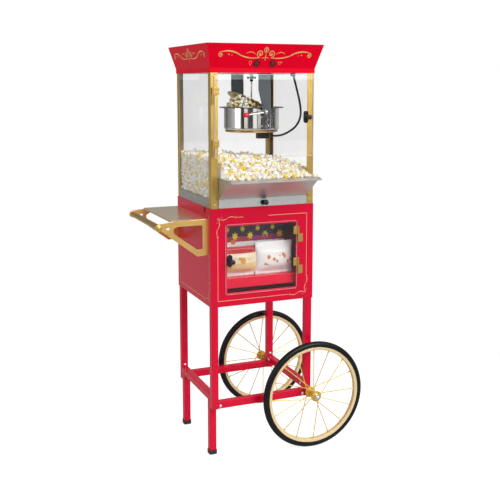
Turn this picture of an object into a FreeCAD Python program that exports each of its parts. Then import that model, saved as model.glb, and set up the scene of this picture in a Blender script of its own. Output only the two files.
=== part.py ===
import FreeCAD, Part
import math
import os
from FreeCAD import Vector

# Popcorn cart: a glass popping case with a hanging kettle, on a red cabinet that stands on four
# square legs, two of them on large spoked wheels, with a tray shelf and push handle on the left.
#
# Shapes are worked out in the cabinet's own frame, in millimetres: X from the cabinet's left
# face to the right, Y from its front face to the back, Z up from the floor. On export every
# shape moves sideways so that the origin lies under the middle of the whole cart.

X_AXIS = Vector(1, 0, 0)
Y_AXIS = Vector(0, 1, 0)
Z_AXIS = Vector(0, 0, 1)

# ---- driving dimensions ----
HEIGHT = 1346.0              # floor to canopy top
WIDTH = 363.0                # cabinet, left to right
DEPTH = 342.0                # cabinet, front to back
CABINET_BASE = 508.0
CABINET_TOP = 829.0
CASE_FLOOR = 858.0           # top of the case's floor plate
CASE_TOP = 1256.0            # underside of the canopy
SHEET = 2.0                  # cabinet and canopy sheet
THIN = 1.5                   # case, tray and hinge sheet

LEG = 23.0                   # square leg tube, outside
LEG_WALL = 1.5
LEG_INSET = 2.0              # legs behind the cabinet's faces
LEG_END = 164.0              # lower end of the upper legs
CROSS_RAIL = (20.0, 25.0)    # front and rear rails, depth and height
SIDE_RAIL_BASE = 186.0
CAP_SIDE = 27.0
CAP_HEIGHT = 15.0
CAP_SOLE = 4.0               # rubber under the tube's end
BOLT_HEAD = (5.5, 3.0)       # carriage bolt head, radius and height
BOLT_SHANK = (3.0, 12.0)

WHEEL_R = 183.0
WHEEL_OUT = 40.0             # wheel's mid-plane outside the cabinet's face
RIM_R = 165.0                # rim flange's outer radius
RIM_INNER = 156.0
RIM_HALF = 9.5
TYRE_HALF = 9.5
SPOKES = 16
SPOKE_R = 1.5
SPOKE_SWEEP = 14.0           # degrees between a spoke's two ends
HUB_FLANGE_R = 18.0
HUB_FLANGE_AT = 22.0         # flange from the wheel's mid-plane
HUB_HALF = 27.0
HUB_BARREL_R = 9.0
AXLE_R = 5.0
RUNNING = 0.05               # radial clearance of a turning fit
END_PLAY = 0.3

WINDOW = (55.0, 300.0, 552.0, 770.0)   # cabinet window: left, right, bottom, top
SHELF_Z = 591.0              # shelf inside the cabinet
APRON = 30.0                 # folded front edge of that shelf
PANE = 3.0                   # acrylic and glass thickness
PANE_GAP = 0.3               # door panes in front of what they close

CASE_LEFT = 2.5              # outside of the case's corner angles
CASE_BACK = 340.0
ANGLE = 23.5                 # corner angle's leg width

PULL_FOOT = 17.0             # width of a pull's foot
PULL_R = 8.0                 # its round grip
PULL_OUT = 35.0              # grip's end from the face
DRAWER_PULL_OUT = 22.0

PIN_Y = -6.0                 # door hinge pins in front of the face
PIN_R = 1.5
KNUCKLE_R = 2.7

DOOR_BOTTOM = 988.0          # case door pane
DOOR_TOP = 1252.0
TRAY_PIVOT = (-6.0, 862.0)   # tray hinge line, Y and Z
TRAY_LENGTH = 111.0          # hinge line to the plate's top edge
TRAY_TILT = 54.0             # degrees from upright, as it stands open
TRAY_SIDES = (27.0, 336.0)
LIP = (17.0, 21.0)           # tray lip, length and degrees below level
HEM = 2.5                    # upright edge at the lip's end

FLARE_START = 1271.0         # canopy's upright skirt ends here
FLARE_SIDE = 18.0
FLARE_FRONT = 30.0

KETTLE = (211.0, 171.0)      # kettle's middle, X and Y
POT_R = 93.0
POT_BASE = 1066.0
POT_TOP = 1144.0
POT_FLANGE_R = 108.0
TILT_AXIS = (208.0, 1130.0)  # kettle's tilt axis, X and Z
LID_HINGE = (228.0, 1148.5)  # lid's hinge line, X and Z
LID_R = 101.0                # fixed half, resting on the pot's rim
FLAP_R = 90.0                # hinged half, just inside the pot's wall
LID_RAISED = 27.0            # degrees, as it stands on overflowing corn
ARM_FACES = (48.0, 51.0)     # front arm, Y

BRACKETS = (22.0, 337.0)     # front face of each shelf bracket, Y
BRACKET_T = 3.0
SHELF_EDGE = -125.0
SHELF_TOP = 795.0
TUBE = (-163.5, 775.5)       # handle tube's axis, X and Z
TUBE_R = 9.5
TIP_R = 12.0                 # bracket's rounded tip round the tube

NODES = {}


# ---- helpers ----
def box(x0, x1, y0, y1, z0, z1):
    return Part.makeBox(x1 - x0, y1 - y0, z1 - z0, Vector(x0, y0, z0))


def rod(start, end, radius):
    run = end.sub(start)
    return Part.makeCylinder(radius, run.Length, start, run)


def soften(shape, radius, *axes):
    """Rounds the straight edges that run along the given axes."""
    edges = []
    for edge in shape.Edges:
        if len(edge.Vertexes) == 2 and edge.Curve.TypeId == "Part::GeomLine":
            way = edge.Curve.Direction
            if any(abs(way.dot(axis)) > 0.999 for axis in axes):
                edges.append(edge)
    return shape.makeFillet(radius, edges)


def rounded_box(x0, x1, y0, y1, z0, z1, radius, *axes):
    return soften(box(x0, x1, y0, y1, z0, z1), radius, *axes)


def tube_bar(x0, x1, y0, y1, z0, z1, axis):
    """Hollow rectangular bar with rounded corners, open at both ends along the axis."""
    outer = rounded_box(x0, x1, y0, y1, z0, z1, 2.0, axis)
    wall = [LEG_WALL * (1 - abs(axis.dot(way))) for way in (X_AXIS, Y_AXIS, Z_AXIS)]
    inner = box(x0 + wall[0], x1 - wall[0], y0 + wall[1], y1 - wall[1], z0 + wall[2], z1 - wall[2])
    return outer.cut(inner)


def lathe(outline, centre, axis):
    """Turns an outline of (radius, along) corners about an axis through centre.

    A corner of four numbers is an arc: through the first pair, ending at the second.
    """
    across = Z_AXIS if axis == Y_AXIS else X_AXIS

    def place(radius, along):
        return centre.add(across * radius).add(axis * along)

    edges = []
    here = place(*outline[0])
    for corner in outline[1:] + outline[:1]:
        there = place(*corner[-2:])
        if len(corner) == 4:
            edges.append(Part.Arc(here, place(*corner[:2]), there).toShape())
        elif here.distanceToPoint(there) > 1e-6:
            edges.append(Part.LineSegment(here, there).toShape())
        here = there
    return Part.Face(Part.Wire(edges)).revolve(centre, axis, 360)


def dome(radius, base, top):
    """Arc corner that closes an outline with part of a ball, from the radius at base to its top."""
    middle = (top ** 2 - base ** 2 - radius ** 2) / (2 * (top - base))
    ball = top - middle
    half = math.asin(radius / abs(ball)) / 2
    return (abs(ball) * math.sin(half), middle + ball * math.cos(half), 0, top)


def plate(corners, thickness):
    """Flat plate from a closed run of corners, thick along the given vector."""
    return Part.Face(Part.makePolygon(corners + corners[:1])).extrude(thickness)


def pull(x, y, z, foot_size, out):
    """Moulded pull standing out of a face at y towards the front: a long rounded foot and a round grip."""
    wide, tall = foot_size
    foot = rounded_box(x - wide / 2, x + wide / 2, y - 4, y, z - tall / 2, z + tall / 2,
                       PULL_FOOT / 2 - 0.1, Y_AXIS)
    outer = [edge for edge in foot.Edges if edge.BoundBox.YMax < y - 3.99]
    grip = lathe([(0, 0), (5.5, 0), (4.5, -out / 4), (4.5, -out / 2), (PULL_R - 1, -out * 0.68),
                  (PULL_R, -out * 0.74), (PULL_R, -out + 4), (PULL_R - 2.3, -out + 1.2, 2.5, -out),
                  (0, -out)], Vector(x, y, z), Y_AXIS)
    return foot.makeFillet(1.5, outer).fuse(grip).removeSplitter()


def mirror_y(shape):
    return shape.mirror(Vector(0, DEPTH / 2, 0), Y_AXIS)


def mirror_x(shape):
    return shape.mirror(Vector(WIDTH / 2, 0, 0), X_AXIS)


def add(name, *shapes):
    solids = [solid for shape in shapes for solid in shape.Solids]
    NODES[name] = solids[0] if len(solids) == 1 else Part.makeCompound(solids)


# ---- lower frame ----
LEFT_LEG = LEG_INSET
RIGHT_LEG = WIDTH - LEG_INSET - LEG
FRONT_LEG = LEG_INSET
REAR_LEG = DEPTH - LEG_INSET - LEG
AXLE_X = RIGHT_LEG + LEG / 2
AXLE_Z = WHEEL_R


def legs():
    upper = []
    for x in (LEFT_LEG, RIGHT_LEG):
        for y in (FRONT_LEG, REAR_LEG):
            upper.append(tube_bar(x, x + LEG, y, y + LEG, LEG_END, CABINET_BASE, Z_AXIS))
    add("upper_legs", *upper)
    lower = []
    caps = []
    for y in (FRONT_LEG + LEG, REAR_LEG - LEG):
        lower.append(tube_bar(LEFT_LEG, LEFT_LEG + LEG, y, y + LEG, CAP_SOLE, SIDE_RAIL_BASE, Z_AXIS))
        spare = (CAP_SIDE - LEG) / 2
        low = (LEFT_LEG - spare, y - spare)
        cap = rounded_box(low[0], low[0] + CAP_SIDE, low[1], low[1] + CAP_SIDE, 0, CAP_HEIGHT, 5.0, Z_AXIS)
        sole = [edge for edge in cap.Edges if edge.BoundBox.ZMax < 0.01]
        cap = cap.makeFillet(2.5, sole)
        socket = rounded_box(LEFT_LEG, LEFT_LEG + LEG, y, y + LEG, CAP_SOLE, CAP_HEIGHT + 1, 2.0, Z_AXIS)
        caps.append(cap.cut(socket))
    add("lower_legs", *lower)
    add("foot_caps", *caps)


def rails():
    deep, tall = CROSS_RAIL
    spare = (LEG - deep) / 2
    inner = (LEFT_LEG + LEG, RIGHT_LEG)
    front = tube_bar(inner[0], inner[1], FRONT_LEG + spare, FRONT_LEG + spare + deep,
                     LEG_END, LEG_END + tall, X_AXIS)
    add("cross_rails", front, mirror_y(front))
    left = tube_bar(LEFT_LEG, LEFT_LEG + LEG, FRONT_LEG + LEG, REAR_LEG,
                    SIDE_RAIL_BASE, SIDE_RAIL_BASE + LEG, Y_AXIS)
    add("side_rails", left, mirror_x(left))


def bolt(point, out):
    """Carriage bolt with a low domed head on the face at point; out points away from the face."""
    radius, height = BOLT_HEAD
    ball = (radius ** 2 + height ** 2) / (2 * height)
    dome = Part.makeSphere(ball, point.add(out * (height - ball)))
    head = dome.common(rod(point, point.add(out * height), radius))
    shank = rod(point.sub(out * BOLT_SHANK[1]), point.add(out * 0.5), BOLT_SHANK[0])
    return head.fuse(shank)


def frame_bolts():
    bolts = []
    rail_face = FRONT_LEG + (LEG - CROSS_RAIL[0]) / 2
    for x in (LEFT_LEG + LEG + 7, RIGHT_LEG - 7):
        bolts.append(bolt(Vector(x, rail_face, LEG_END + 9), Y_AXIS * -1))
        bolts.append(mirror_y(bolts[-1]))
    above = SIDE_RAIL_BASE + LEG + 8
    below = SIDE_RAIL_BASE - 9
    for x in (LEFT_LEG + LEG / 2, AXLE_X):
        bolts.append(bolt(Vector(x, REAR_LEG, above), Y_AXIS * -1))
        bolts.append(mirror_y(bolts[-1]))
    for y in (FRONT_LEG + LEG * 1.5, REAR_LEG - LEG / 2):
        bolts.append(bolt(Vector(LEFT_LEG + LEG, y, below), X_AXIS))
        bolts.append(bolt(Vector(RIGHT_LEG, y, SIDE_RAIL_BASE + LEG / 2), X_AXIS * -1))
    add("frame_bolts", *bolts)


# ---- wheels ----
def axles():
    middle = Vector(AXLE_X, -WHEEL_OUT, AXLE_Z)
    out = HUB_HALF + END_PLAY
    shank_end = FRONT_LEG + 20 + WHEEL_OUT
    axle = lathe([(0, shank_end), (AXLE_R, shank_end), (AXLE_R, -out), (9.5, -out), (9.5, -out - 2),
                  (8.0, -out - 2), (8.0, -out - 7), dome(8.0, -out - 7, -out - 13)], middle, Y_AXIS)
    face = FRONT_LEG + WHEEL_OUT
    spacer = lathe([(AXLE_R, out), (8.5, out), (8.5, face), (AXLE_R, face)], middle, Y_AXIS)
    nut = lathe([(AXLE_R, face + 9), (8.0, face + 9), (8.0, face + 18), (AXLE_R, face + 18)],
                middle, Y_AXIS)
    add("axle_bolts", axle, mirror_y(axle))
    add("axle_fittings", spacer, nut, mirror_y(spacer), mirror_y(nut))


def wheels():
    middle = Vector(AXLE_X, -WHEEL_OUT, AXLE_Z)
    web = RIM_INNER + 2
    groove = RIM_HALF - 2.2
    shoulder = RIM_R + 6
    tyre = lathe([(web, -groove), (RIM_R, -groove), (RIM_R + 1.5, -TYRE_HALF), (shoulder, -TYRE_HALF - 1.5),
                  (WHEEL_R, 0, shoulder, TYRE_HALF + 1.5), (RIM_R + 1.5, TYRE_HALF), (RIM_R, groove),
                  (web, groove)], middle, Y_AXIS)
    bead = RIM_R - 1.1
    rim = lathe([(web, -groove), (bead, -groove), (RIM_R, -groove - 1.1, bead, -RIM_HALF),
                 (RIM_INNER, -RIM_HALF + 1.5), (RIM_INNER - 1.5, -RIM_HALF + 3.5),
                 (RIM_INNER, -4), (RIM_INNER, 4), (RIM_INNER - 1.5, RIM_HALF - 3.5),
                 (RIM_INNER, RIM_HALF - 1.5), (bead, RIM_HALF), (RIM_R, groove + 1.1, bead, groove),
                 (web, groove)], middle, Y_AXIS)
    spokes = []
    for step in range(SPOKES):
        side = 1 if step % 2 else -1
        lean = SPOKE_SWEEP if step % 4 < 2 else -SPOKE_SWEEP
        at_rim = math.radians(step * 360.0 / SPOKES)
        at_hub = at_rim + math.radians(lean) * 3
        start = middle.add(Vector(math.cos(at_hub) * 14, side * HUB_FLANGE_AT, math.sin(at_hub) * 14))
        end = middle.add(Vector(math.cos(at_rim) * (RIM_INNER + 0.8), side * 2.5,
                                math.sin(at_rim) * (RIM_INNER + 0.8)))
        spokes.append(rod(start, end, SPOKE_R))
    bore = AXLE_R + RUNNING
    flange = HUB_FLANGE_AT
    cup = 13.0
    hub = lathe([(bore, -HUB_HALF), (cup - 3, -HUB_HALF), (cup, -HUB_HALF + 1),
                 (cup + 1, -flange - 1.5), (HUB_FLANGE_R, -flange - 1.5), (HUB_FLANGE_R, -flange + 1.5),
                 (cup, -flange + 1.5), (HUB_BARREL_R, -flange + 6), (HUB_BARREL_R, flange - 6),
                 (cup, flange - 1.5), (HUB_FLANGE_R, flange - 1.5), (HUB_FLANGE_R, flange + 1.5),
                 (cup + 1, flange + 1.5), (cup, HUB_HALF - 1), (cup - 3, HUB_HALF), (bore, HUB_HALF)],
                middle, Y_AXIS)
    for name, shapes in (("tyre", [tyre]), ("rim", [rim]), ("spokes", spokes), ("hub", [hub])):
        add("front_" + name, *shapes)
        add("rear_" + name, *[mirror_y(shape) for shape in shapes])


# ---- hinges shared by the two clear doors ----
def hinge(pin_x, side, low, middle, high, reach_panel, reach_door):
    """Lift-off hinge: the panel leaf with its pin, and the door leaf above it.

    side is +1 where the door lies to the right of the pin and -1 where it lies to the left.
    """
    def strip(reach_from, reach_to, y0, y1, z0, z1):
        ends = sorted((pin_x + side * reach_from, pin_x + side * reach_to))
        return box(ends[0], ends[1], y0, y1, z0, z1)

    def knuckle(z0, z1, radius):
        return Part.makeCylinder(radius, z1 - z0, Vector(pin_x, PIN_Y, z0))

    panel = strip(-reach_panel, 1.5, -THIN, 0, low, middle)
    panel = panel.fuse(strip(-1.5, 1.5, PIN_Y, -THIN, low, middle))
    panel = panel.fuse(knuckle(low, middle, KNUCKLE_R)).fuse(knuckle(low, high, PIN_R))
    lowest = middle + END_PLAY
    face = -PANE_GAP - PANE
    door = strip(0, reach_door, face - THIN, face, lowest, high - 1)
    door = door.fuse(knuckle(lowest, high - 1, KNUCKLE_R)).cut(knuckle(lowest - 1, high, PIN_R + RUNNING))
    return panel.removeSplitter(), door.removeSplitter()


def door_pane(x0, x1, z0, z1):
    return rounded_box(x0, x1, -PANE_GAP - PANE, -PANE_GAP, z0, z1, 4.0, Y_AXIS)


# ---- cabinet ----
CABINET_PIN = WINDOW[1] + 6.0
CASE_PIN = 8.0


def cabinet():
    left, right, low, high = WINDOW
    front = rounded_box(0, WIDTH, 0, SHEET, CABINET_BASE, CABINET_TOP, 0.9, Z_AXIS)
    add("cabinet_front", front.cut(box(left, right, -1, SHEET + 1, low, high)))
    side = box(0, SHEET, SHEET, DEPTH - SHEET, CABINET_BASE, CABINET_TOP)
    rear = rounded_box(0, WIDTH, DEPTH - SHEET, DEPTH, CABINET_BASE, CABINET_TOP, 0.9, Z_AXIS)
    add("cabinet_panels", side, mirror_x(side), rear)
    inside = (SHEET, WIDTH - SHEET, SHEET, DEPTH - SHEET)
    add("cabinet_plates", box(*inside, CABINET_BASE, CABINET_BASE + SHEET),
        box(*inside, CABINET_TOP - SHEET, CABINET_TOP))
    shelf = box(inside[0], inside[1], 22, inside[3], SHELF_Z, SHELF_Z + THIN)
    apron = box(inside[0], inside[1], 22, 22 + THIN, SHELF_Z - APRON, SHELF_Z)
    add("cabinet_shelf", shelf.fuse(apron))
    clip = rounded_box(-2.5, 0, 53.5, 59.5, 811, 829, 0.8, Z_AXIS, Y_AXIS)
    add("side_latches", clip, mirror_x(clip))


def cabinet_door():
    left, right, low, high = WINDOW
    add("cabinet_door_pane", door_pane(left - 6, CABINET_PIN - 4, low - 6, high + 6))
    add("cabinet_door_knob", pull(62.7, -PANE_GAP - PANE, 658.5, (PULL_FOOT, 40), PULL_OUT))
    panels = []
    doors = []
    for low, middle in ((596.0, 623.5), (703.0, 729.5)):
        panel, door = hinge(CABINET_PIN, -1, low, middle, middle + 28, 18, 17)
        panels.append(panel)
        doors.append(door)
    add("cabinet_door_leaves", *doors)
    return panels


# ---- glass case ----
CASE_RIGHT = WIDTH - CASE_LEFT
GLASS_X = CASE_LEFT + THIN


def case():
    angle = box(CASE_LEFT, CASE_LEFT + ANGLE, 0, THIN, CABINET_TOP, CASE_TOP)
    angle = angle.fuse(box(CASE_LEFT, GLASS_X, THIN, ANGLE, CABINET_TOP, CASE_TOP)).removeSplitter()
    back = angle.mirror(Vector(0, CASE_BACK / 2, 0), Y_AXIS)
    add("corner_posts", angle, back, mirror_x(angle), mirror_x(back))
    pane = box(GLASS_X, GLASS_X + PANE, THIN, CASE_BACK - THIN, CASE_FLOOR, CASE_TOP)
    add("side_glass", pane, mirror_x(pane))
    add("rear_glass", box(GLASS_X + PANE, WIDTH - GLASS_X - PANE, CASE_BACK - THIN - PANE,
                          CASE_BACK - THIN, CASE_FLOOR, CASE_TOP))
    skirt = box(CASE_LEFT, GLASS_X, ANGLE, CASE_BACK - ANGLE, CABINET_TOP, CASE_FLOOR)
    rear = box(CASE_LEFT + ANGLE, CASE_RIGHT - ANGLE, CASE_BACK - THIN, CASE_BACK,
               CABINET_TOP, CASE_FLOOR)
    add("base_skirt", skirt, mirror_x(skirt), rear)
    add("case_floor", box(GLASS_X, WIDTH - GLASS_X, THIN, CASE_BACK - THIN, CASE_FLOOR - THIN, CASE_FLOOR))


def crumb_drawer():
    front = box(TRAY_SIDES[0], TRAY_SIDES[1], -THIN - 0.5, -0.5, CABINET_TOP + 2, CASE_FLOOR + 0.3)
    outer = box(30, 333, -0.5, 300, CABINET_TOP + 0.5, CABINET_TOP + 23)
    hollow = box(31.2, 331.8, 0.7, 298.8, CABINET_TOP + 1.7, CABINET_TOP + 24)
    add("crumb_drawer", front.fuse(outer.cut(hollow)).removeSplitter())
    add("crumb_drawer_knob", pull(184.0, -THIN - 0.5, 843.0, (27, PULL_FOOT), DRAWER_PULL_OUT))


def case_door():
    add("case_door_pane", door_pane(CASE_PIN + 6, 358, DOOR_BOTTOM, DOOR_TOP))
    add("case_door_knob", pull(330.0, -PANE_GAP - PANE, 1115.0, (PULL_FOOT, 40), PULL_OUT))
    panels = []
    doors = []
    for low, middle in ((994.0, 1024.0), (1158.0, 1188.0)):
        panel, door = hinge(CASE_PIN, 1, low, middle, middle + 23.5, 5.5, 21)
        panels.append(panel)
        doors.append(door)
    add("case_door_leaves", *doors)
    return panels


# ---- serving tray ----
def serving_tray():
    """Tilting tray: a leaning plate with a folded lip and two cheeks, on a rolled hinge tube."""
    y0, z0 = TRAY_PIVOT
    left, right = TRAY_SIDES
    tilt = math.radians(TRAY_TILT)
    rise = (-math.sin(tilt), math.cos(tilt))
    out = (-math.cos(tilt), -math.sin(tilt))
    top = (y0 + rise[0] * TRAY_LENGTH, z0 + rise[1] * TRAY_LENGTH)
    slope = math.radians(LIP[1])
    tip = (top[0] - LIP[0] * math.cos(slope), top[1] - LIP[0] * math.sin(slope))

    def at(point, push=0.0):
        return Vector(left, point[0] + out[0] * push, point[1] + out[1] * push)

    across = Vector(right - left, 0, 0)
    leaf = plate([at((y0, z0)), at(top), at(top, THIN), at((y0, z0), THIN)], across)
    lip_down = Vector(0, 0, -THIN)
    lip = plate([at(top), at(tip), at(tip).add(lip_down), at(top).add(lip_down)], across)
    hem = box(left, right, tip[0] - 1.2, tip[0] + THIN, tip[1] - HEM, tip[1])
    cheek = plate([at((y0, z0)), at(top), Vector(left, y0 + 24, top[1])], Vector(THIN, 0, 0))
    far_cheek = cheek.translated(Vector(right - left - THIN, 0, 0))
    tray = leaf.fuse([lip, hem, cheek, far_cheek, rod(at((y0, z0)), at((y0, z0)).add(across), 2.5)])
    for x, way in ((left, 1), (right, -1)):
        mouth = Vector(x - way, y0, z0)
        tray = tray.cut(rod(mouth, mouth.add(X_AXIS * (way * 16)), PIN_R + RUNNING))
    add("serving_tray", tray)
    lug = rounded_box(left - 4, left - THIN, y0 - 4, 0, z0 - 6, z0 + 6, 3.0, X_AXIS)
    pivot = lug.fuse(rod(Vector(left - 4, y0, z0), Vector(left + 12, y0, z0), PIN_R))
    add("tray_pivots", pivot, mirror_x(pivot))


# ---- canopy ----
def frustum(shrink, z0, flare_z, z1):
    """Canopy form, drawn in by shrink all round, from its upright skirt to its flared top."""
    def ring(over_x, over_y, z):
        corners = [Vector(-over_x, -over_y, z), Vector(WIDTH + over_x, -over_y, z),
                   Vector(WIDTH + over_x, DEPTH + over_y, z), Vector(-over_x, DEPTH + over_y, z)]
        return Part.makePolygon(corners + corners[:1])

    grow = (z1 - flare_z) / (HEIGHT - FLARE_START)
    skirt = box(shrink, WIDTH - shrink, shrink, DEPTH - shrink, z0, flare_z)
    flare = Part.makeLoft([ring(-shrink, -shrink, flare_z),
                           ring(FLARE_SIDE * grow - shrink, FLARE_FRONT * grow - shrink, z1)], True, True)
    return skirt.fuse(flare).removeSplitter()


FLARE_LEAN = math.atan2(FLARE_FRONT, HEIGHT - FLARE_START)
SWITCH_OUT = Vector(0, -math.cos(FLARE_LEAN), -math.sin(FLARE_LEAN))
SWITCHES = (("light_switch", 155.0), ("kettle_switch", 210.0))
SWITCH_Z = 1286.0
BEZEL = (8.2, 11.0, 9.2)     # rocker opening, bezel and barrel radii
ROCKER_R = 7.4
LAMP = (95.0, 240.0)


def canopy():
    shell = frustum(0, CASE_TOP, FLARE_START, HEIGHT)
    shell = shell.cut(frustum(SHEET, CASE_TOP - 1, FLARE_START, HEIGHT - SHEET))
    bezels = []
    for name, x in SWITCHES:
        lean = (SWITCH_Z - FLARE_START) * math.tan(FLARE_LEAN)
        face = Vector(x, -lean, SWITCH_Z)
        hole = rod(face.add(SWITCH_OUT * 3), face.sub(SWITCH_OUT * 6), BEZEL[2])
        shell = shell.cut(hole)
        ring = rod(face, face.add(SWITCH_OUT * 2.5), BEZEL[1])
        barrel = rod(face.sub(SWITCH_OUT * 14), face, BEZEL[2])
        hollow = rod(face.sub(SWITCH_OUT * 12), face.add(SWITCH_OUT * 3), BEZEL[0])
        bezels.append(ring.fuse(barrel).cut(hollow))
        rocker = rod(face.sub(SWITCH_OUT * 2.5), face.add(SWITCH_OUT * 2.5), ROCKER_R)
        edges = [edge for edge in rocker.Edges if edge.Curve.TypeId == "Part::GeomCircle"]
        add(name, rocker.makeFillet(1.2, edges))
    add("canopy_shell", shell)
    add("switch_bezels", *bezels)
    ceiling = box(SHEET, WIDTH - SHEET, SHEET, DEPTH - SHEET, CASE_TOP, CASE_TOP + SHEET)
    for x, y, radius in ((KETTLE[0], KETTLE[1], 7.0), (LAMP[0], LAMP[1], 22.0)):
        ceiling = ceiling.cut(Part.makeCylinder(radius, 9, Vector(x, y, CASE_TOP - 3)))
    add("canopy_ceiling", ceiling)


def motor_and_lamp():
    x, y = KETTLE
    gearbox = rounded_box(x - 40, x + 40, y - 34, y + 34, CASE_TOP + SHEET, CASE_TOP + 34, 4.0, Z_AXIS)
    can = Part.makeCylinder(27, 38, Vector(x + 10, y, CASE_TOP + 34))
    shaft = Part.makeCylinder(7, 9, Vector(x, y, CASE_TOP - 7))
    add("motor_unit", gearbox.fuse([can, shaft]))
    x, y = LAMP
    base = CASE_TOP + SHEET
    add("lamp", lathe([(0, 2), (17, 8, 19, 18), (14, 30, 11, 36), (11, 40), (14, 40), (14, 66), (0, 66)],
                      Vector(x, y, base), Z_AXIS),
        box(x - 40, x + 40, y - 10, y + 10, base + 66, base + 68),
        box(x - 42, x - 40, y - 10, y + 10, base, base + 68),
        box(x + 40, x + 42, y - 10, y + 10, base, base + 68))


# ---- kettle ----
LEAD_ROUTE = [(258.7, 125.0, 1048.5), (286.0, 118.0, 1046.5), (311.0, 104.0, 1056.0),
              (337.0, 85.0, 1078.0), (346.0, 68.0, 1109.0), (341.5, 58.0, 1145.0),
              (325.0, 52.0, 1200.0), (308.8, 52.0, 1255.0)]
LEAD_D = 7.0


def kettle_arms():
    """Two sheet arms that hang from the ceiling and carry the tilt pivots."""
    y0, y1 = ARM_FACES
    x, z = TILT_AXIS
    low = z - 14
    outline = [(x - 23, CASE_TOP), (x - 23, z + 72), (x - 9, z + 14), (x - 9, low + 5), (x - 5, low),
               (x + 20, low), (x + 20, CASE_TOP)]
    arm = plate([Vector(px, y0, pz) for px, pz in outline], Vector(0, y1 - y0, 0))
    flange = box(x + 17, x + 20, y1, y1 + 8, low, CASE_TOP)
    foot = box(x - 23, x + 17, y1, y1 + 8, CASE_TOP - 3, CASE_TOP)
    arm = arm.fuse([flange, foot]).removeSplitter()
    arm = arm.cut(rod(Vector(x, y0 - 1, z), Vector(x, y1 + 1, z), AXLE_R + RUNNING))
    add("kettle_arms", arm, mirror_y(arm))


def kettle_body():
    centre = Vector(KETTLE[0], KETTLE[1], 0)
    wall = 1.5
    inner = POT_R - wall
    pot = lathe([(0, POT_BASE), (POT_R - 10, POT_BASE), (POT_R - 3, POT_BASE + 3, POT_R, POT_BASE + 10),
                 (POT_R, POT_TOP - 2), (POT_FLANGE_R - 1, POT_TOP - 2),
                 (POT_FLANGE_R, POT_TOP - 1, POT_FLANGE_R - 1, POT_TOP), (inner, POT_TOP),
                 (inner, POT_BASE + 10), (inner - 2.6, POT_BASE + 4.1, inner - 8.5, POT_BASE + wall),
                 (0, POT_BASE + wall)], centre, Z_AXIS)
    add("kettle_pot", pot)
    add("heater_base", lathe([(0, POT_BASE - 5), (POT_R - 5, POT_BASE - 5),
                              (POT_R - 3, POT_BASE - 3, POT_R - 3.5, POT_BASE), (0, POT_BASE)],
                             centre, Z_AXIS))
    x, z = TILT_AXIS
    boss = rounded_box(x - 10, x + 24, ARM_FACES[1] + 12, ARM_FACES[1] + 32, z - 56, z + 11, 4.0, Y_AXIS)
    pin = rod(Vector(x, ARM_FACES[0] - 13, z), Vector(x, ARM_FACES[1] + 20, z), AXLE_R)
    collar = rod(Vector(x, ARM_FACES[1] + END_PLAY, z), Vector(x, ARM_FACES[1] + 13, z), 8.5)
    pivot = boss.fuse([pin, collar]).cut(Part.makeCylinder(POT_R, 200, Vector(*KETTLE, POT_BASE - 20)))
    rear_pin = mirror_y(pivot).cut(box(0, WIDTH, DEPTH - ARM_FACES[0] + 4, DEPTH, z - 30, z + 30))
    add("kettle_pivots", pivot, rear_pin)


def tilting_lever():
    x, z = TILT_AXIS
    y = ARM_FACES[0] - 7
    collar = rod(Vector(x, y - 4, z), Vector(x, y + 4, z), 9.0)
    reach = Vector(-0.993, 0, -0.115)
    hub = Vector(x, y, z)
    end = hub.add(reach * 70)
    bar = rod(hub, end, 2.6)
    bore = rod(Vector(x, y - 9, z), Vector(x, y + 9, z), AXLE_R)
    add("kettle_lever", collar.fuse(bar).cut(bore))
    grip = lathe([(0, -9), (4, -9), (7, -6, 7.5, 0), (7, 6, 4, 10), (0, 10)], Vector(0, 0, 0), Z_AXIS)
    grip = grip.cut(Part.makeCylinder(2.6, 9, Vector(0, 0, -9)))
    grip.rotate(Vector(0, 0, 0), Y_AXIS, math.degrees(math.atan2(reach.x, reach.z)))
    grip.translate(end)
    add("kettle_grip", grip)


def kettle_lids():
    x, z = LID_HINGE
    cx, cy = KETTLE
    half = math.sqrt(LID_R ** 2 - (x - cx) ** 2)
    disc = Part.makeCylinder(LID_R, THIN, Vector(cx, cy, POT_TOP))
    cover = disc.common(box(x, x + 200, 0, DEPTH, POT_TOP - 1, POT_TOP + 5))
    for y in (cy - half + 14, cy + half - 22):
        cover = cover.fuse(box(x - 3, x + 8, y, y + 8, POT_TOP, z + 2.5))
    pin = rod(Vector(x, cy - half + 14, z), Vector(x, cy + half - 14, z), PIN_R)
    add("kettle_cover", cover.fuse(pin).removeSplitter())
    low = POT_TOP + 1.0
    flap = Part.makeCylinder(FLAP_R, THIN, Vector(cx, cy, low))
    flap = flap.common(box(0, x - 4.5, 0, DEPTH, low - 1, low + 5))
    slot = rounded_box(x - 46, x - 7, cy - 9, cy + 9, low - 1, low + 5, 8.0, Z_AXIS)
    flap = flap.cut(slot)
    rim = Part.makeCylinder(FLAP_R, 4, Vector(cx, cy, low))
    rim = rim.cut(Part.makeCylinder(FLAP_R - 2, 4, Vector(cx, cy, low)))
    flap = flap.fuse(rim.common(box(0, x - 30, 0, DEPTH, low, low + 5)))
    for y in (cy - 52, cy + 34):
        tab = box(x - 6, x - 1, y, y + 18, low, low + THIN)
        barrel = rod(Vector(x, y, z), Vector(x, y + 18, z), 3.0)
        link = box(x - 3, x, y, y + 18, low, z)
        flap = flap.fuse([tab, barrel, link])
        flap = flap.cut(rod(Vector(x, y - 1, z), Vector(x, y + 19, z), PIN_R + RUNNING))
    flap.rotate(Vector(x, cy, z), Y_AXIS, LID_RAISED)
    add("kettle_lid", flap)


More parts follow.
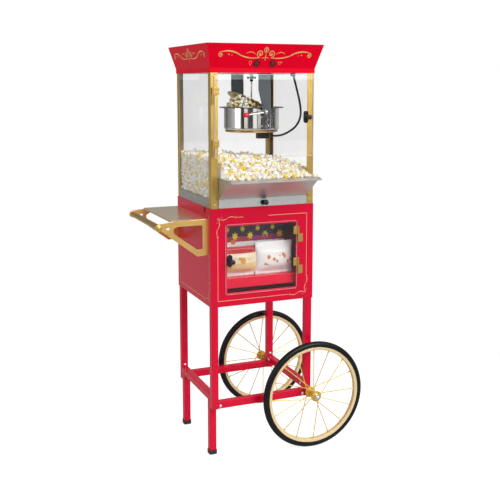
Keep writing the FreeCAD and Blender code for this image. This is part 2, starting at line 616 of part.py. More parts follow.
def stirrer():
    x, y = KETTLE
    floor = POT_BASE + 1.5 + END_PLAY
    top = CASE_TOP - 8.5
    shaft = Part.makeCylinder(2.5, top - 4 - floor, Vector(x, y, floor))
    foot = Part.makeCylinder(6, 10, Vector(x, y, floor))
    sweep = rod(Vector(x - 72, y, floor + 2), Vector(x + 72, y, floor + 2), 2.0)
    blades = [box(x + 30, x + 70, y - 0.8, y + 0.8, floor + 2, floor + 9),
              box(x - 70, x - 30, y - 0.8, y + 0.8, floor + 2, floor + 9)]
    sleeve = Part.makeCylinder(5, 16, Vector(x, y, top - 16))
    wings = rounded_box(x - 12, x + 12, y - 3, y + 3, top - 11, top - 1, 3.0, Y_AXIS)
    add("stirrer", shaft.fuse([foot, sweep, sleeve, wings] + blades))


def round_route(points, diameter):
    """Tube along straight runs that are joined by tangent arcs as large as the runs allow."""
    points = [Vector(*point) for point in points]
    edges = []
    here = points[0]
    for before, corner, after in zip(points, points[1:], points[2:]):
        way_in = corner.sub(before)
        way_out = after.sub(corner)
        turn = way_in.getAngle(way_out)
        cut = 0.45 * min(way_in.Length, way_out.Length)
        radius = cut / math.tan(turn / 2)
        print("lead bend radius %.1f mm, turn %.0f degrees" % (radius, math.degrees(turn)))
        way_in.normalize()
        way_out.normalize()
        start = corner.sub(way_in * cut)
        end = corner.add(way_out * cut)
        inward = way_out.sub(way_in).normalize()
        middle = corner.add(inward * (radius / math.cos(turn / 2) - radius))
        edges.append(Part.LineSegment(here, start).toShape())
        edges.append(Part.Arc(start, middle, end).toShape())
        here = end
    edges.append(Part.LineSegment(here, points[-1]).toShape())
    path = Part.Wire(edges)
    section = Part.Wire(Part.makeCircle(diameter / 2, points[0], points[1].sub(points[0])))
    tube = path.makePipeShell([section], True, False)
    bulk = math.pi * diameter ** 2 / 4 * path.Length
    print("lead length %.1f mm, volume ratio %.4f" % (path.Length, tube.Volume / bulk))
    return tube


def lead_and_plug():
    start = Vector(*LEAD_ROUTE[0])
    way = Vector(*LEAD_ROUTE[1]).sub(start).normalize()
    plug = rounded_box(213.0, 250.0, 109.0, 141.0, 1040.0, POT_BASE - 5, 4.0, X_AXIS, Z_AXIS)
    relief = Part.makeCone(7.0, 5.0, 12.0, start.sub(way * 12), way)
    add("kettle_plug", plug.fuse(relief).removeSplitter())
    add("kettle_lead", round_route(LEAD_ROUTE, LEAD_D))
    x, y, z = LEAD_ROUTE[-1]
    last = Vector(x, y, z).sub(Vector(*LEAD_ROUTE[-2])).normalize()
    gland = Part.makeCylinder(8.5, 9, Vector(x, y, CASE_TOP - 9))
    hole = rod(Vector(x, y, z).sub(last * 30), Vector(x, y, z).add(last * 2), LEAD_D / 2)
    add("lead_gland", gland.cut(hole))


# ---- side shelf and push handle ----
def bracket_outline():
    """Bracket's outer edge: wall side, sloping underside and a tip rounded about the tube."""
    x, z = TUBE
    wall_top = (0, SHELF_TOP - 0.7)
    arm_end = (-116, SHELF_TOP - 3)
    knee = (-37.5, 676)
    tip_top = (x - 1.5, z + TIP_R - 0.1)
    tip_low = (x + 6.5, z - TIP_R + 1.9)

    def at(point):
        return Vector(point[0], 0, point[1])

    return Part.Wire([
        Part.makeLine(at(wall_top), at(arm_end)),
        Part.makeLine(at(arm_end), at(tip_top)),
        Part.Arc(at(tip_top), at((x - TIP_R, z)), at(tip_low)).toShape(),
        Part.makeLine(at(tip_low), at(knee)),
        Part.makeLine(at(knee), at((0, 678))),
        Part.makeLine(at((0, 678)), at(wall_top))])


def shelf():
    blank = Part.Face(bracket_outline()).extrude(Vector(0, BRACKET_T, 0))
    hole = plate([Vector(-19, -1, 776), Vector(-19, -1, 698), Vector(-38, -1, 698), Vector(-112, -1, 752),
                  Vector(-118, -1, 768), Vector(-104, -1, 776)], Vector(0, BRACKET_T + 2, 0))
    hole = soften(hole, 6.0, Y_AXIS)
    slot = rounded_box(-140, -128, -1, BRACKET_T + 1, 768, 774, 2.9, Y_AXIS)
    bracket = blank.cut(hole).cut(slot)
    brackets = [bracket.translated(Vector(0, y, 0)) for y in BRACKETS]
    add("shelf_brackets", *brackets)
    inner = (BRACKETS[0] + BRACKET_T, BRACKETS[1])
    top = box(SHELF_EDGE + 3, 0, inner[0], inner[1], SHELF_TOP - THIN, SHELF_TOP)
    roll = rod(Vector(SHELF_EDGE + 3, inner[0], SHELF_TOP - 3), Vector(SHELF_EDGE + 3, inner[1], SHELF_TOP - 3), 3)
    add("shelf_plate", top.fuse(roll).removeSplitter())
    x, z = TUBE
    tube = rod(Vector(x, inner[0], z), Vector(x, inner[1], z), TUBE_R)
    add("handle_tube", tube.cut(rod(Vector(x, 0, z), Vector(x, DEPTH, z), TUBE_R - 1.2)))
    cap = lathe([(0, 0), (TUBE_R, 0), (TUBE_R, -1.5), dome(TUBE_R, -1.5, -4)], Vector(x, BRACKETS[0], z), Y_AXIS)
    rear = cap.mirror(Vector(0, (BRACKETS[0] + BRACKETS[1] + BRACKET_T) / 2, 0), Y_AXIS)
    add("handle_caps", cap, rear)


def export():
    whole = Part.makeCompound(list(NODES.values()))
    middle = whole.optimalBoundingBox(False, False).Center
    to_origin = Vector(-round(middle.x, 1), -round(middle.y, 1), 0)
    print("origin under x %.1f, y %.1f of the cabinet's frame" % (-to_origin.x, -to_origin.y))
    print("%d nodes" % len(NODES))
    os.makedirs("parts", exist_ok=True)
    for name, shape in NODES.items():
        shape.translated(to_origin).exportStep("parts/" + name + ".step")


legs()
rails()
frame_bolts()
axles()
wheels()
cabinet()
door_hinges = cabinet_door()
case()
crumb_drawer()
door_hinges += case_door()
add("hinge_leaves", *door_hinges)
serving_tray()
canopy()
motor_and_lamp()
kettle_arms()
kettle_body()
tilting_lever()
kettle_lids()
stirrer()
lead_and_plug()
shelf()
export()
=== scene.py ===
"""Looks of the popcorn cart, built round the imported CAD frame.

Places are given in the cabinet's own frame, in millimetres: X from the cabinet's left face to the
right, Y from its front face to the back, Z up from the floor. at() turns them into the row frame.
"""
import math
import random

import bmesh
import bpy
from mathutils import Euler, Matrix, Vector, noise


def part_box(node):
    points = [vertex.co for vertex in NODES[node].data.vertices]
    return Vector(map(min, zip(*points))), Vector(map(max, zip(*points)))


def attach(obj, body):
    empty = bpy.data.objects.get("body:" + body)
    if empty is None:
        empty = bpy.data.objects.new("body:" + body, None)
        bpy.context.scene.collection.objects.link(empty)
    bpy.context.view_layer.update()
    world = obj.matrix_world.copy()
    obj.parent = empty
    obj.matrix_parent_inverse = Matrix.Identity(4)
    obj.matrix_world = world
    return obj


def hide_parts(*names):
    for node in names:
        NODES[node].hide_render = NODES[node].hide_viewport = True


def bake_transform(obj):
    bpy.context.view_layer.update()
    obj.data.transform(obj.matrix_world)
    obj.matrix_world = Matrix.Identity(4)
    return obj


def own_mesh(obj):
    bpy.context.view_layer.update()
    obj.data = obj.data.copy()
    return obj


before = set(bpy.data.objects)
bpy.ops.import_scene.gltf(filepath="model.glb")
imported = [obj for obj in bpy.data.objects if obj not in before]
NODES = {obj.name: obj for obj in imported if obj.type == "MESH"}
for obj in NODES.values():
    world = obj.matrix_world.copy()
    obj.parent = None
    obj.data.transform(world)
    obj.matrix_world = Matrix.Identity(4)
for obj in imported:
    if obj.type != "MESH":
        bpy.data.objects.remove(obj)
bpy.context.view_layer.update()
MM = 0.001
CORNER = Vector((*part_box("cabinet_front")[0][:2], 0.0))
WIDTH = (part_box("cabinet_front")[1].x - CORNER.x) / MM
DEPTH = (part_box("cabinet_panels")[1].y - CORNER.y) / MM
KETTLE = (211.0, 171.0)      # middle of the kettle, X and Y
LID_HINGE = (228.0, 1148.5)  # hinge line of the lid, X and Z
LID_RAISED = math.radians(27.0)
TRAY_PIVOT = (-6.0, 862.0)   # hinge line of the tray, Y and Z
TRAY_TILT = math.radians(54.0)


def at(x, y, z):
    return CORNER + Vector((x, y, z)) * MM


# ---- camera ----
CAMERA_PLACE = (-1.06481, -2.60361, 1.22154)
CAMERA_DOWN = math.radians(7.937)
CAMERA_TURN = math.radians(22.635)


def make_camera():
    data = bpy.data.cameras.new("camera")
    data.lens = 59.98
    data.sensor_width = 36.0
    data.shift_y = -0.10
    camera = bpy.data.objects.new("camera", data)
    bpy.context.scene.collection.objects.link(camera)
    camera.location = CAMERA_PLACE
    camera.rotation_euler = (math.pi / 2 - CAMERA_DOWN, 0, -CAMERA_TURN)
    bpy.context.scene.camera = camera


make_camera()


# ---- mesh helpers ----
def new_object(name, verts, faces, body, smooth=False, materials=()):
    """Mesh object with outward faces that rides on a body."""
    mesh = bpy.data.meshes.new(name)
    mesh.from_pydata([tuple(v) for v in verts], [], faces)
    mesh.validate()
    bm = bmesh.new()
    bm.from_mesh(mesh)
    bmesh.ops.recalc_face_normals(bm, faces=bm.faces)
    bm.to_mesh(mesh)
    bm.free()
    for polygon in mesh.polygons:
        polygon.use_smooth = smooth
    obj = bpy.data.objects.new(name, mesh)
    bpy.context.scene.collection.objects.link(obj)
    for material in materials:
        mesh.materials.append(material)
    if body:
        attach(obj, body)
    return obj


class Build:
    """Collects closed shells into one mesh."""

    def __init__(self):
        self.verts = []
        self.faces = []

    def add(self, verts, faces):
        base = len(self.verts)
        self.verts.extend(verts)
        self.faces.extend([tuple(base + i for i in face) for face in faces])

    def loft(self, rings, closed_ends=True):
        """Skin over rings of equal length."""
        count = len(rings[0])
        verts = [p for ring in rings for p in ring]
        faces = []
        for k in range(len(rings) - 1):
            for i in range(count):
                j = (i + 1) % count
                faces.append((k * count + i, k * count + j, (k + 1) * count + j, (k + 1) * count + i))
        if closed_ends:
            faces.append(tuple(range(count))[::-1])
            faces.append(tuple((len(rings) - 1) * count + i for i in range(count)))
        self.add(verts, faces)

    def turned(self, centre, axis, outline, sides=24):
        """Turned form: outline of (radius, along) in millimetres about an axis."""
        axis = Vector(axis).normalized()
        side = axis.orthogonal().normalized()
        other = axis.cross(side)
        rings = []
        for radius, along in outline:
            ring = []
            for i in range(sides):
                turn = 2 * math.pi * i / sides
                way = side * math.cos(turn) + other * math.sin(turn)
                ring.append(centre + (way * max(radius, 0.02) + axis * along) * MM)
            rings.append(ring)
        self.loft(rings)

    def tube(self, points, radius, sides=10):
        """Round tube along points in metres; radius in millimetres."""
        rings = []
        up = None
        for i, point in enumerate(points):
            ahead = points[min(i + 1, len(points) - 1)]
            behind = points[max(i - 1, 0)]
            way = (ahead - behind).normalized()
            if up is None:
                up = way.orthogonal().normalized()
            up = (up - way * up.dot(way)).normalized()
            other = way.cross(up)
            rings.append([point + (up * math.cos(2 * math.pi * k / sides)
                                   + other * math.sin(2 * math.pi * k / sides)) * radius * MM
                          for k in range(sides)])
        self.loft(rings)

    def block(self, low, high, round_by=0.6):
        """Box with bevelled edges, corners in the cabinet's frame."""
        bm = bmesh.new()
        bmesh.ops.create_cube(bm, size=1.0)
        size = Vector(high) - Vector(low)
        middle = (Vector(high) + Vector(low)) / 2
        for v in bm.verts:
            v.co = Vector((v.co.x * size.x, v.co.y * size.y, v.co.z * size.z)) + middle
        offset = min(round_by, min(size) * 0.4)
        bmesh.ops.bevel(bm, geom=bm.edges[:], offset=offset, segments=2, affect="EDGES")
        bm.verts.index_update()
        self.add([at(*v.co) for v in bm.verts], [tuple(v.index for v in f.verts) for f in bm.faces])
        bm.free()

    def make(self, name, body, material, smooth=False):
        return new_object(name, self.verts, self.faces, body, smooth, [material])


# ---- materials ----
class Shader:
    """A procedural Principled material with its nodes wired by short calls."""

    def __init__(self, name):
        self.material = bpy.data.materials.new(name)
        self.material.use_nodes = True
        self.tree = self.material.node_tree
        self.bsdf = self.tree.nodes["Principled BSDF"]
        self.coords = self.tree.nodes.new("ShaderNodeTexCoord").outputs["Object"]

    def link(self, source, target):
        self.tree.links.new(source, target)

    def node(self, kind, **inputs):
        made = self.tree.nodes.new("ShaderNode" + kind)
        for key, value in inputs.items():
            socket = made.inputs[key.replace("_", " ")]
            if isinstance(value, bpy.types.NodeSocket):
                self.link(value, socket)
            else:
                socket.default_value = value
        return made

    def noise(self, scale, detail=3.0, stretch=None, coords=None):
        coords = coords or self.coords
        if stretch:
            coords = self.node("Mapping", Vector=coords, Scale=stretch).outputs["Vector"]
        return self.node("TexNoise", Vector=coords, Scale=scale, Detail=detail).outputs["Fac"]

    def ramp(self, value, stops):
        made = self.tree.nodes.new("ShaderNodeValToRGB")
        elements = made.color_ramp.elements
        while len(elements) < len(stops):
            elements.new(0.5)
        for element, (place, colour) in zip(elements, stops):
            element.position = place
            element.color = (*colour, 1.0)
        self.link(value, made.inputs["Fac"])
        return made.outputs["Color"]

    def mix(self, share, a, b):
        made = self.tree.nodes.new("ShaderNodeMix")
        made.data_type = "RGBA"
        for socket, value in ((made.inputs[0], share), (made.inputs[6], a), (made.inputs[7], b)):
            if isinstance(value, bpy.types.NodeSocket):
                self.link(value, socket)
            elif isinstance(value, (int, float)):
                socket.default_value = value
            else:
                socket.default_value = (*value, 1.0)
        return made.outputs[2]

    def span(self, value, low, high, start=0.3, end=0.7):
        made = self.node("MapRange", Value=value, From_Min=start, From_Max=end, To_Min=low, To_Max=high)
        return made.outputs["Result"]

    def bump(self, height, strength, distance):
        made = self.node("Bump", Strength=strength, Distance=distance, Height=height)
        return made

    def set(self, **values):
        for key, value in values.items():
            socket = self.bsdf.inputs[key.replace("_", " ")]
            if isinstance(value, bpy.types.NodeSocket):
                self.link(value, socket)
            else:
                socket.default_value = value


def shade(colour, factor):
    return tuple(min(1.0, c * factor) for c in colour)


def surface(name, colour, rough, metal=0.0, tone=0.06, tone_scale=14.0, rough_span=0.06, bump=0.05,
            grain_scale=900.0, stretch=None, coat=0.0, edge=None, edge_radius=0.0009, ior=1.5, specular=0.5):
    """A finish with drifting tone, uneven gloss, a fine grain, softened edges and a painted highlight of
    lighter colour along the edges.
    """
    s = Shader(name)
    drift = s.noise(tone_scale, 4.0)
    tint = s.mix(s.span(drift, 0.0, 1.0), shade(colour, 1 - tone), shade(colour, 1 + tone))
    soft = s.node("Bevel", Radius=edge_radius)
    # Painted highlight: where the bevelled normal turns away from the face's normal, the colour is mixed
    # towards the lighter edge colour.
    if edge is not None:
        flat = s.node("NewGeometry").outputs["Normal"]
        turn = s.node("VectorMath")
        turn.operation = "DOT_PRODUCT"
        s.link(soft.outputs["Normal"], turn.inputs[0])
        s.link(flat, turn.inputs[1])
        painted_edge_highlight = s.span(turn.outputs["Value"], 0.7, 0.0, 0.75, 0.97)
        tint = s.mix(painted_edge_highlight, tint, edge)
    fine = s.noise(grain_scale, 2.0, stretch)
    uneven = s.noise(60.0 if stretch is None else grain_scale * 0.5, 3.0, stretch)
    relief = s.bump(fine, bump, 0.0002)
    s.link(soft.outputs["Normal"], relief.inputs["Normal"])
    s.set(Base_Color=tint, Metallic=metal, IOR=ior, Specular_IOR_Level=specular,
          Coat_Weight=coat, Coat_Roughness=0.08,
          Roughness=s.span(uneven, max(0.02, rough - rough_span), rough + rough_span),
          Normal=relief.outputs["Normal"])
    return s.material


def clear_pane(name, tint, smear):
    """Clear pane with faint wiping marks."""
    s = Shader(name)
    wipe = s.noise(5.0, 4.0, (1.0, 6.0, 2.0))
    relief = s.bump(s.noise(3.0, 1.0), 0.02, 0.0005)
    s.set(Base_Color=s.mix(s.span(wipe, 0.0, 1.0), tint, (1.0, 1.0, 1.0)), Transmission_Weight=1.0, IOR=1.45,
          Roughness=s.span(wipe, 0.0, smear, 0.45, 0.8), Normal=relief.outputs["Normal"])
    return s.material


ALONG_X = (1.0, 40.0, 40.0)
ALONG_Z = (40.0, 40.0, 1.0)
ALONG_Y = (40.0, 1.0, 40.0)
RED = (0.70, 0.001, 0.034)
GOLD = (0.66, 0.44, 0.12)
red_paint = surface("red_enamel", RED, 0.22, tone=0.03, specular=0.28, bump=0.006, grain_scale=200.0,
                    rough_span=0.02, edge=(0.86, 0.05, 0.09))
canopy_paint = surface("canopy_enamel", (0.84, 0.0, 0.020), 0.30, tone=0.03, specular=0.06, bump=0.006,
                       grain_scale=200.0, rough_span=0.02, edge=(0.88, 0.04, 0.07))
satin_gold = surface("satin_gold", GOLD, 0.33, metal=0.85, tone=0.05, grain_scale=40.0, stretch=ALONG_Z,
                     bump=0.08, edge=(0.95, 0.76, 0.38))
bracket_gold = surface("bracket_gold", (0.88, 0.56, 0.17), 0.34, metal=0.75, tone=0.05, grain_scale=30.0,
                       stretch=ALONG_X, bump=0.06, edge=(1.0, 0.85, 0.55))
bronze = surface("brushed_bronze", (0.62, 0.38, 0.11), 0.30, metal=0.95, tone=0.10, grain_scale=45.0,
                 stretch=ALONG_Y, bump=0.10)
steel = surface("brushed_steel", (0.78, 0.78, 0.77), 0.33, metal=0.9, tone=0.06, grain_scale=40.0,
                stretch=ALONG_X, bump=0.08, edge=(0.85, 0.85, 0.84))
skirt_steel = surface("skirt_steel", (0.50, 0.50, 0.47), 0.38, metal=0.85, tone=0.08, grain_scale=40.0,
                      stretch=ALONG_Y, bump=0.08)
arm_steel = surface("arm_steel", (0.085, 0.10, 0.11), 0.34, metal=0.85, tone=0.10, grain_scale=40.0,
                    stretch=ALONG_Z, bump=0.08, edge=(0.85, 0.86, 0.88))
tray_steel = surface("tray_steel", (0.58, 0.55, 0.52), 0.34, metal=0.85, tone=0.08, grain_scale=45.0,
                     stretch=ALONG_X, bump=0.12, edge=(0.86, 0.83, 0.80))
shelf_steel = surface("shelf_steel", (0.86, 0.69, 0.46), 0.18, metal=0.75, tone=0.05, grain_scale=45.0,
                      stretch=ALONG_Y, bump=0.05, edge=(0.9, 0.82, 0.65))
polished = surface("polished_steel", (0.80, 0.78, 0.76), 0.07, metal=1.0, tone=0.03, rough_span=0.03,
                   grain_scale=30.0, stretch=(40.0, 40.0, 2.0), bump=0.02)
chrome = surface("bright_chrome", (0.82, 0.82, 0.82), 0.06, metal=1.0, tone=0.02, rough_span=0.03, bump=0.01)
copper = surface("heater_copper", (0.78, 0.50, 0.24), 0.22, metal=0.95, tone=0.12, tone_scale=40.0, bump=0.05)
zinc = surface("zinc_plate", (0.56, 0.56, 0.54), 0.38, metal=0.9, tone=0.10, tone_scale=60.0, bump=0.08)
tyre = surface("tyre_rubber", (0.008, 0.008, 0.009), 0.28, tone=0.2, rough_span=0.07, bump=0.05,
               grain_scale=500.0, specular=0.22)
rim_cream = surface("rim_enamel", (0.90, 0.70, 0.38), 0.26, metal=0.25, tone=0.04, coat=0.4, bump=0.03,
                    grain_scale=400.0, edge=(1.0, 0.88, 0.62))
hub_gold = surface("hub_gold", (0.76, 0.46, 0.04), 0.24, metal=0.55, tone=0.06, coat=0.3, bump=0.04,
                   edge=(1.0, 0.86, 0.40))
spoke_gold = surface("spoke_gold", (0.90, 0.66, 0.16), 0.26, metal=0.5, tone=0.05, bump=0.03)
black = surface("gloss_black", (0.012, 0.012, 0.013), 0.16, tone=0.15, rough_span=0.05, bump=0.04, coat=0.2,
                grain_scale=600.0)
rubber = surface("foot_rubber", (0.022, 0.021, 0.021), 0.55, tone=0.2, bump=0.2, grain_scale=700.0)
sheath = surface("cord_sheath", (0.016, 0.016, 0.017), 0.34, tone=0.15, bump=0.12, grain_scale=800.0)
dark_red = surface("rocker_red", (0.20, 0.004, 0.010), 0.18, tone=0.08, bump=0.03, coat=0.3)
grip_red = surface("grip_red", (0.66, 0.012, 0.040), 0.22, tone=0.05, bump=0.04, coat=0.3)
opal = surface("opal_lamp", (0.90, 0.88, 0.80), 0.30, tone=0.03, bump=0.03)
glass = clear_pane("tempered_glass", (0.985, 0.99, 0.985), 0.03)
acrylic = clear_pane("clear_acrylic", (0.985, 0.98, 0.985), 0.04)
# The doors' edge colours are painted light: a pink reflection of the red cabinet and a pale highlight.
edge_pink_reflection = surface("acrylic_edge_pink_reflection", (0.86, 0.30, 0.36), 0.22, tone=0.08, bump=0.02)
edge_pale_highlight = surface("acrylic_edge_clear", (0.74, 0.78, 0.78), 0.22, tone=0.08, bump=0.02)
line_gold = surface("printed_gold", (0.92, 0.60, 0.20), 0.34, metal=0.3, tone=0.06, bump=0.06,
                    grain_scale=500.0)
line_pink = surface("printed_pinstripe", (0.93, 0.42, 0.22), 0.34, metal=0.2, tone=0.06, bump=0.06,
                    grain_scale=500.0)

lid_brass = surface("lid_brass", (0.62, 0.44, 0.20), 0.20, metal=0.95, tone=0.10, bump=0.04)

FINISHES = {
    red_paint: ["upper_legs", "lower_legs", "cross_rails", "side_rails", "cabinet_front", "cabinet_panels",
                "cabinet_plates", "cabinet_shelf"],
    canopy_paint: ["canopy_shell"],
    satin_gold: ["corner_posts", "hinge_leaves", "cabinet_door_leaves", "case_door_leaves", "tray_pivots",
                 "handle_caps"],
    bracket_gold: ["shelf_brackets"],
    bronze: ["handle_tube"],
    steel: ["case_floor", "crumb_drawer", "canopy_ceiling"],
    skirt_steel: ["base_skirt"],
    arm_steel: ["kettle_arms"],
    tray_steel: ["serving_tray"],
    shelf_steel: ["shelf_plate"],
    polished: ["kettle_pot", "kettle_cover", "stirrer"],
    chrome: ["axle_bolts", "frame_bolts", "kettle_pivots", "kettle_lever"],
    copper: ["heater_base"],
    zinc: ["axle_fittings", "motor_unit"],
    tyre: ["front_tyre", "rear_tyre"],
    rim_cream: ["front_rim", "rear_rim"],
    hub_gold: ["front_hub", "rear_hub"],
    spoke_gold: ["front_spokes", "rear_spokes"],
    black: ["cabinet_door_knob", "case_door_knob", "crumb_drawer_knob", "side_latches", "switch_bezels",
            "kettle_plug", "lead_gland"],
    rubber: ["foot_caps"],
    dark_red: ["light_switch", "kettle_switch"],
    grip_red: ["kettle_grip"],
    opal: ["lamp"],
    glass: ["side_glass", "rear_glass"],
    acrylic: ["cabinet_door_pane", "case_door_pane"],
    sheath: ["kettle_lead"],
    lid_brass: ["kettle_lid"],
}
for material, names in FINISHES.items():
    for name in names:
        NODES[name].data.materials.clear()
        NODES[name].data.materials.append(material)
for name in ("side_glass", "rear_glass", "cabinet_door_pane", "case_door_pane"):
    NODES[name].visible_shadow = False


# ---- kettle lead ----
LEAD_ROUTE = [(258.7, 125.0, 1048.5), (286.0, 118.0, 1046.5), (311.0, 104.0, 1056.0),
              (337.0, 85.0, 1078.0), (346.0, 68.0, 1109.0), (341.5, 58.0, 1145.0),
              (325.0, 52.0, 1200.0), (308.8, 52.0, 1255.0)]
LEAD_DIAMETER = 0.007


def kettle_lead():
    data = bpy.data.curves.new("lead_line", "CURVE")
    data.dimensions = "3D"
    data.resolution_u = 10
    spline = data.splines.new("NURBS")
    spline.points.add(len(LEAD_ROUTE) - 1)
    for point, place in zip(spline.points, LEAD_ROUTE):
        point.co = (*at(*place), 1.0)
    spline.order_u = 3
    spline.use_endpoint_u = True
    line = bpy.data.objects.new("lead_line", data)
    bpy.context.scene.collection.objects.link(line)
    bpy.context.view_layer.update()
    mesh = bpy.data.meshes.new_from_object(line)
    path = [v.co.copy() for v in mesh.vertices]
    bpy.data.objects.remove(line)
    bpy.data.meshes.remove(mesh)
    built = Build()
    built.tube(path, LEAD_DIAMETER / 2 / MM, 16)
    lead = new_object("kettle_lead_tube", built.verts, built.faces, None, True, [sheath])
    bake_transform(lead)
    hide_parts("kettle_lead")


kettle_lead()


# ---- printed lines ----
def bezier(a, b, c, d, count=18):
    """Points of a cubic curve between a and d."""
    points = []
    for i in range(count + 1):
        t = i / count
        u = 1 - t
        points.append(tuple(u ** 3 * a[k] + 3 * u * u * t * b[k] + 3 * u * t * t * c[k] + t ** 3 * d[k]
                            for k in (0, 1)))
    return points


def spiral(centre, start_r, end_r, start_deg, turns, count=34):
    """Points of a curl that tightens from start_r to end_r; negative turns go clockwise."""
    points = []
    for i in range(count + 1):
        t = i / count
        turn = math.radians(start_deg) + 2 * math.pi * turns * t
        radius = start_r + (end_r - start_r) * t
        points.append((centre[0] + radius * math.cos(turn), centre[1] + radius * math.sin(turn)))
    return points


PRINT_LIFT = 0.05
PRINT_THICK = 0.25


class Prints:
    """Thin printed lines on one face; place(u, v, lift) gives a point in the row frame."""

    def __init__(self, place):
        self.place = place
        self.built = Build()

    def stroke(self, points, width, taper=True):
        rings = []
        last = len(points) - 1
        for i, (u, v) in enumerate(points):
            ahead = points[min(i + 1, last)]
            behind = points[max(i - 1, 0)]
            du, dv = ahead[0] - behind[0], ahead[1] - behind[1]
            size = math.hypot(du, dv) or 1.0
            half = width / 2
            if taper:
                half *= 0.35 + 0.65 * math.sin(math.pi * i / last)
            ou, ov = -dv / size * half, du / size * half
            top = PRINT_LIFT + PRINT_THICK
            rings.append([self.place(u + ou, v + ov, PRINT_LIFT), self.place(u + ou, v + ov, top),
                          self.place(u - ou, v - ov, top), self.place(u - ou, v - ov, PRINT_LIFT)])
        self.built.loft(rings)

    def dot(self, u, v, radius):
        rings = []
        turns = [math.pi * k / 8 for k in range(16)]
        for lift in (PRINT_LIFT, PRINT_LIFT + PRINT_THICK):
            rings.append([self.place(u + radius * math.cos(turn), v + radius * math.sin(turn), lift)
                          for turn in turns])
        self.built.loft(rings)

    def make(self, name, material):
        return self.built.make(name, "root", material)


FLARE_Z = 1271.0
FLARE_FRONT = (30.0, 75.0)
FLARE_SIDE = (18.0, 75.0)


def on_front_flare(u, v, lift):
    lean = math.atan2(*FLARE_FRONT)
    y = -(v - FLARE_Z) * math.tan(lean)
    return at(u, y - lift * math.cos(lean), v - lift * math.sin(lean))


def on_left_flare(u, v, lift):
    """u runs from the front to the back."""
    lean = math.atan2(*FLARE_SIDE)
    x = -(v - FLARE_Z) * math.tan(lean)
    return at(x - lift * math.cos(lean), u, v - lift * math.sin(lean))


def on_right_flare(u, v, lift):
    point = on_left_flare(u, v, lift)
    middle = CORNER.x + WIDTH * MM / 2
    return Vector((2 * middle - point.x, point.y, point.z))


def scroll_half(prints, middle, side, reach, size):
    """Half of the canopy scroll: big curl, long swash and end curl, on one side of its middle."""
    def p(u, v):
        return (middle + side * u, v)

    turn = -side
    curl = 19 * size
    prints.stroke(spiral(p(curl, 1315), 12 * size, 2.5 * size, -90, turn * -1.35), 2.6 * size, False)
    prints.dot(*p(curl, 1315), 2.6 * size)
    start = p(curl, 1315 - 12 * size)
    prints.stroke(bezier(start, p(curl + reach * 0.28, 1298), p(curl + reach * 0.45, 1306),
                         p(curl + reach * 0.62, 1316)), 3.4 * size)
    prints.stroke(bezier(p(curl + reach * 0.48, 1309), p(curl + reach * 0.66, 1322),
                         p(curl + reach * 0.84, 1326), p(curl + reach, 1319)), 4.4 * size)
    end = p(curl + reach, 1311)
    prints.stroke(spiral(end, 8 * size, 2.0 * size, 90, turn * 1.2), 2.4 * size, False)
    prints.dot(*end, 2.2 * size)
    prints.dot(*p(curl + reach * 0.80, 1312), 2.0 * size)
    prints.dot(*p(curl + reach * 0.72, 1310), 1.3 * size)
    leaf = [p(35 * size, 1313), p(44 * size, 1322), p(58 * size, 1322), p(66 * size, 1315)]
    prints.stroke(bezier(*leaf), 2.0 * size)


def canopy_scroll(name, place, middle, reach, size):
    """Whole scroll: two mirrored halves round an upright bud."""
    prints = Prints(place)
    for side in (-1, 1):
        scroll_half(prints, middle, side, reach, size)
        out = side * size
        petal = [(middle, 1318), (middle + 9 * out, 1322), (middle + 8 * out, 1332), (middle + 3 * out, 1334)]
        prints.stroke(bezier(*petal), 2.4 * size)
        root = [(middle, 1303), (middle + 5 * out, 1305), (middle + 8 * out, 1303), (middle + 12 * out, 1300)]
        prints.stroke(bezier(*root), 1.8 * size)
    prints.stroke([(middle, 1320 + 17 * t / 8) for t in range(9)], 4.6 * size)
    prints.stroke([(middle, 1299 + 18 * t / 8) for t in range(9)], 2.4 * size)
    prints.dot(middle, 1297, 1.8 * size)
    return prints.make(name, line_gold)


canopy_scroll("front_scroll", on_front_flare, 182, 132, 1.0)
canopy_scroll("left_scroll", on_left_flare, 171, 128, 1.0)
canopy_scroll("right_scroll", on_right_flare, 171, 128, 1.0)


def switch_signs():
    """A small bulb beside the light switch and a small pot beside the kettle switch."""
    prints = Prints(on_front_flare)
    prints.stroke(spiral((133, 1289), 4.2, 4.2, -60, 0.84), 0.9, False)
    for step in range(3):
        prints.stroke([(131.2, 1283.6 - step * 1.4), (134.8, 1283.6 - step * 1.4)], 0.8, False)
    prints.stroke([(229.5, 1289.5), (230.3, 1283.5), (237.7, 1283.5), (238.5, 1289.5)], 0.9, False)
    prints.stroke([(228, 1290.2), (240, 1290.2)], 0.9, False)
    prints.stroke([(238.6, 1288), (243, 1289.5)], 0.9, False)
    prints.make("switch_signs", line_gold)


switch_signs()


def on_cabinet_front(u, v, lift):
    return at(u, -lift, v)


def on_cabinet_left(u, v, lift):
    return at(-lift, u, v)


def on_cabinet_right(u, v, lift):
    return at(WIDTH + lift, u, v)


def corner_scroll(prints, corner, way_u, way_v, reach=66.0):
    """Corner ornament: a curl in the corner and a waving swash along each side."""
    for swap in (False, True):
        def p(a, b):
            along, across = (b, a) if swap else (a, b)
            return (corner[0] + way_u * along, corner[1] + way_v * across)

        prints.stroke(bezier(p(4, 2), p(18, 9), p(26, 6), p(38, -1)), 2.6)
        prints.stroke(bezier(p(30, 3), p(40, -5), p(52, -5), p(reach - 5, 2)), 2.6)
        prints.stroke(spiral(p(reach - 5, -0.5), 3.4, 1.2, 90 if not swap else 0, -1.0), 1.5, False)
        prints.dot(*p(reach - 5, -0.5), 1.3)
        prints.dot(*p(14, -2), 1.3)
    prints.stroke(spiral((corner[0] + way_u * 4, corner[1] + way_v * 4), 4.6, 1.4, 45, 1.1), 1.7, False)


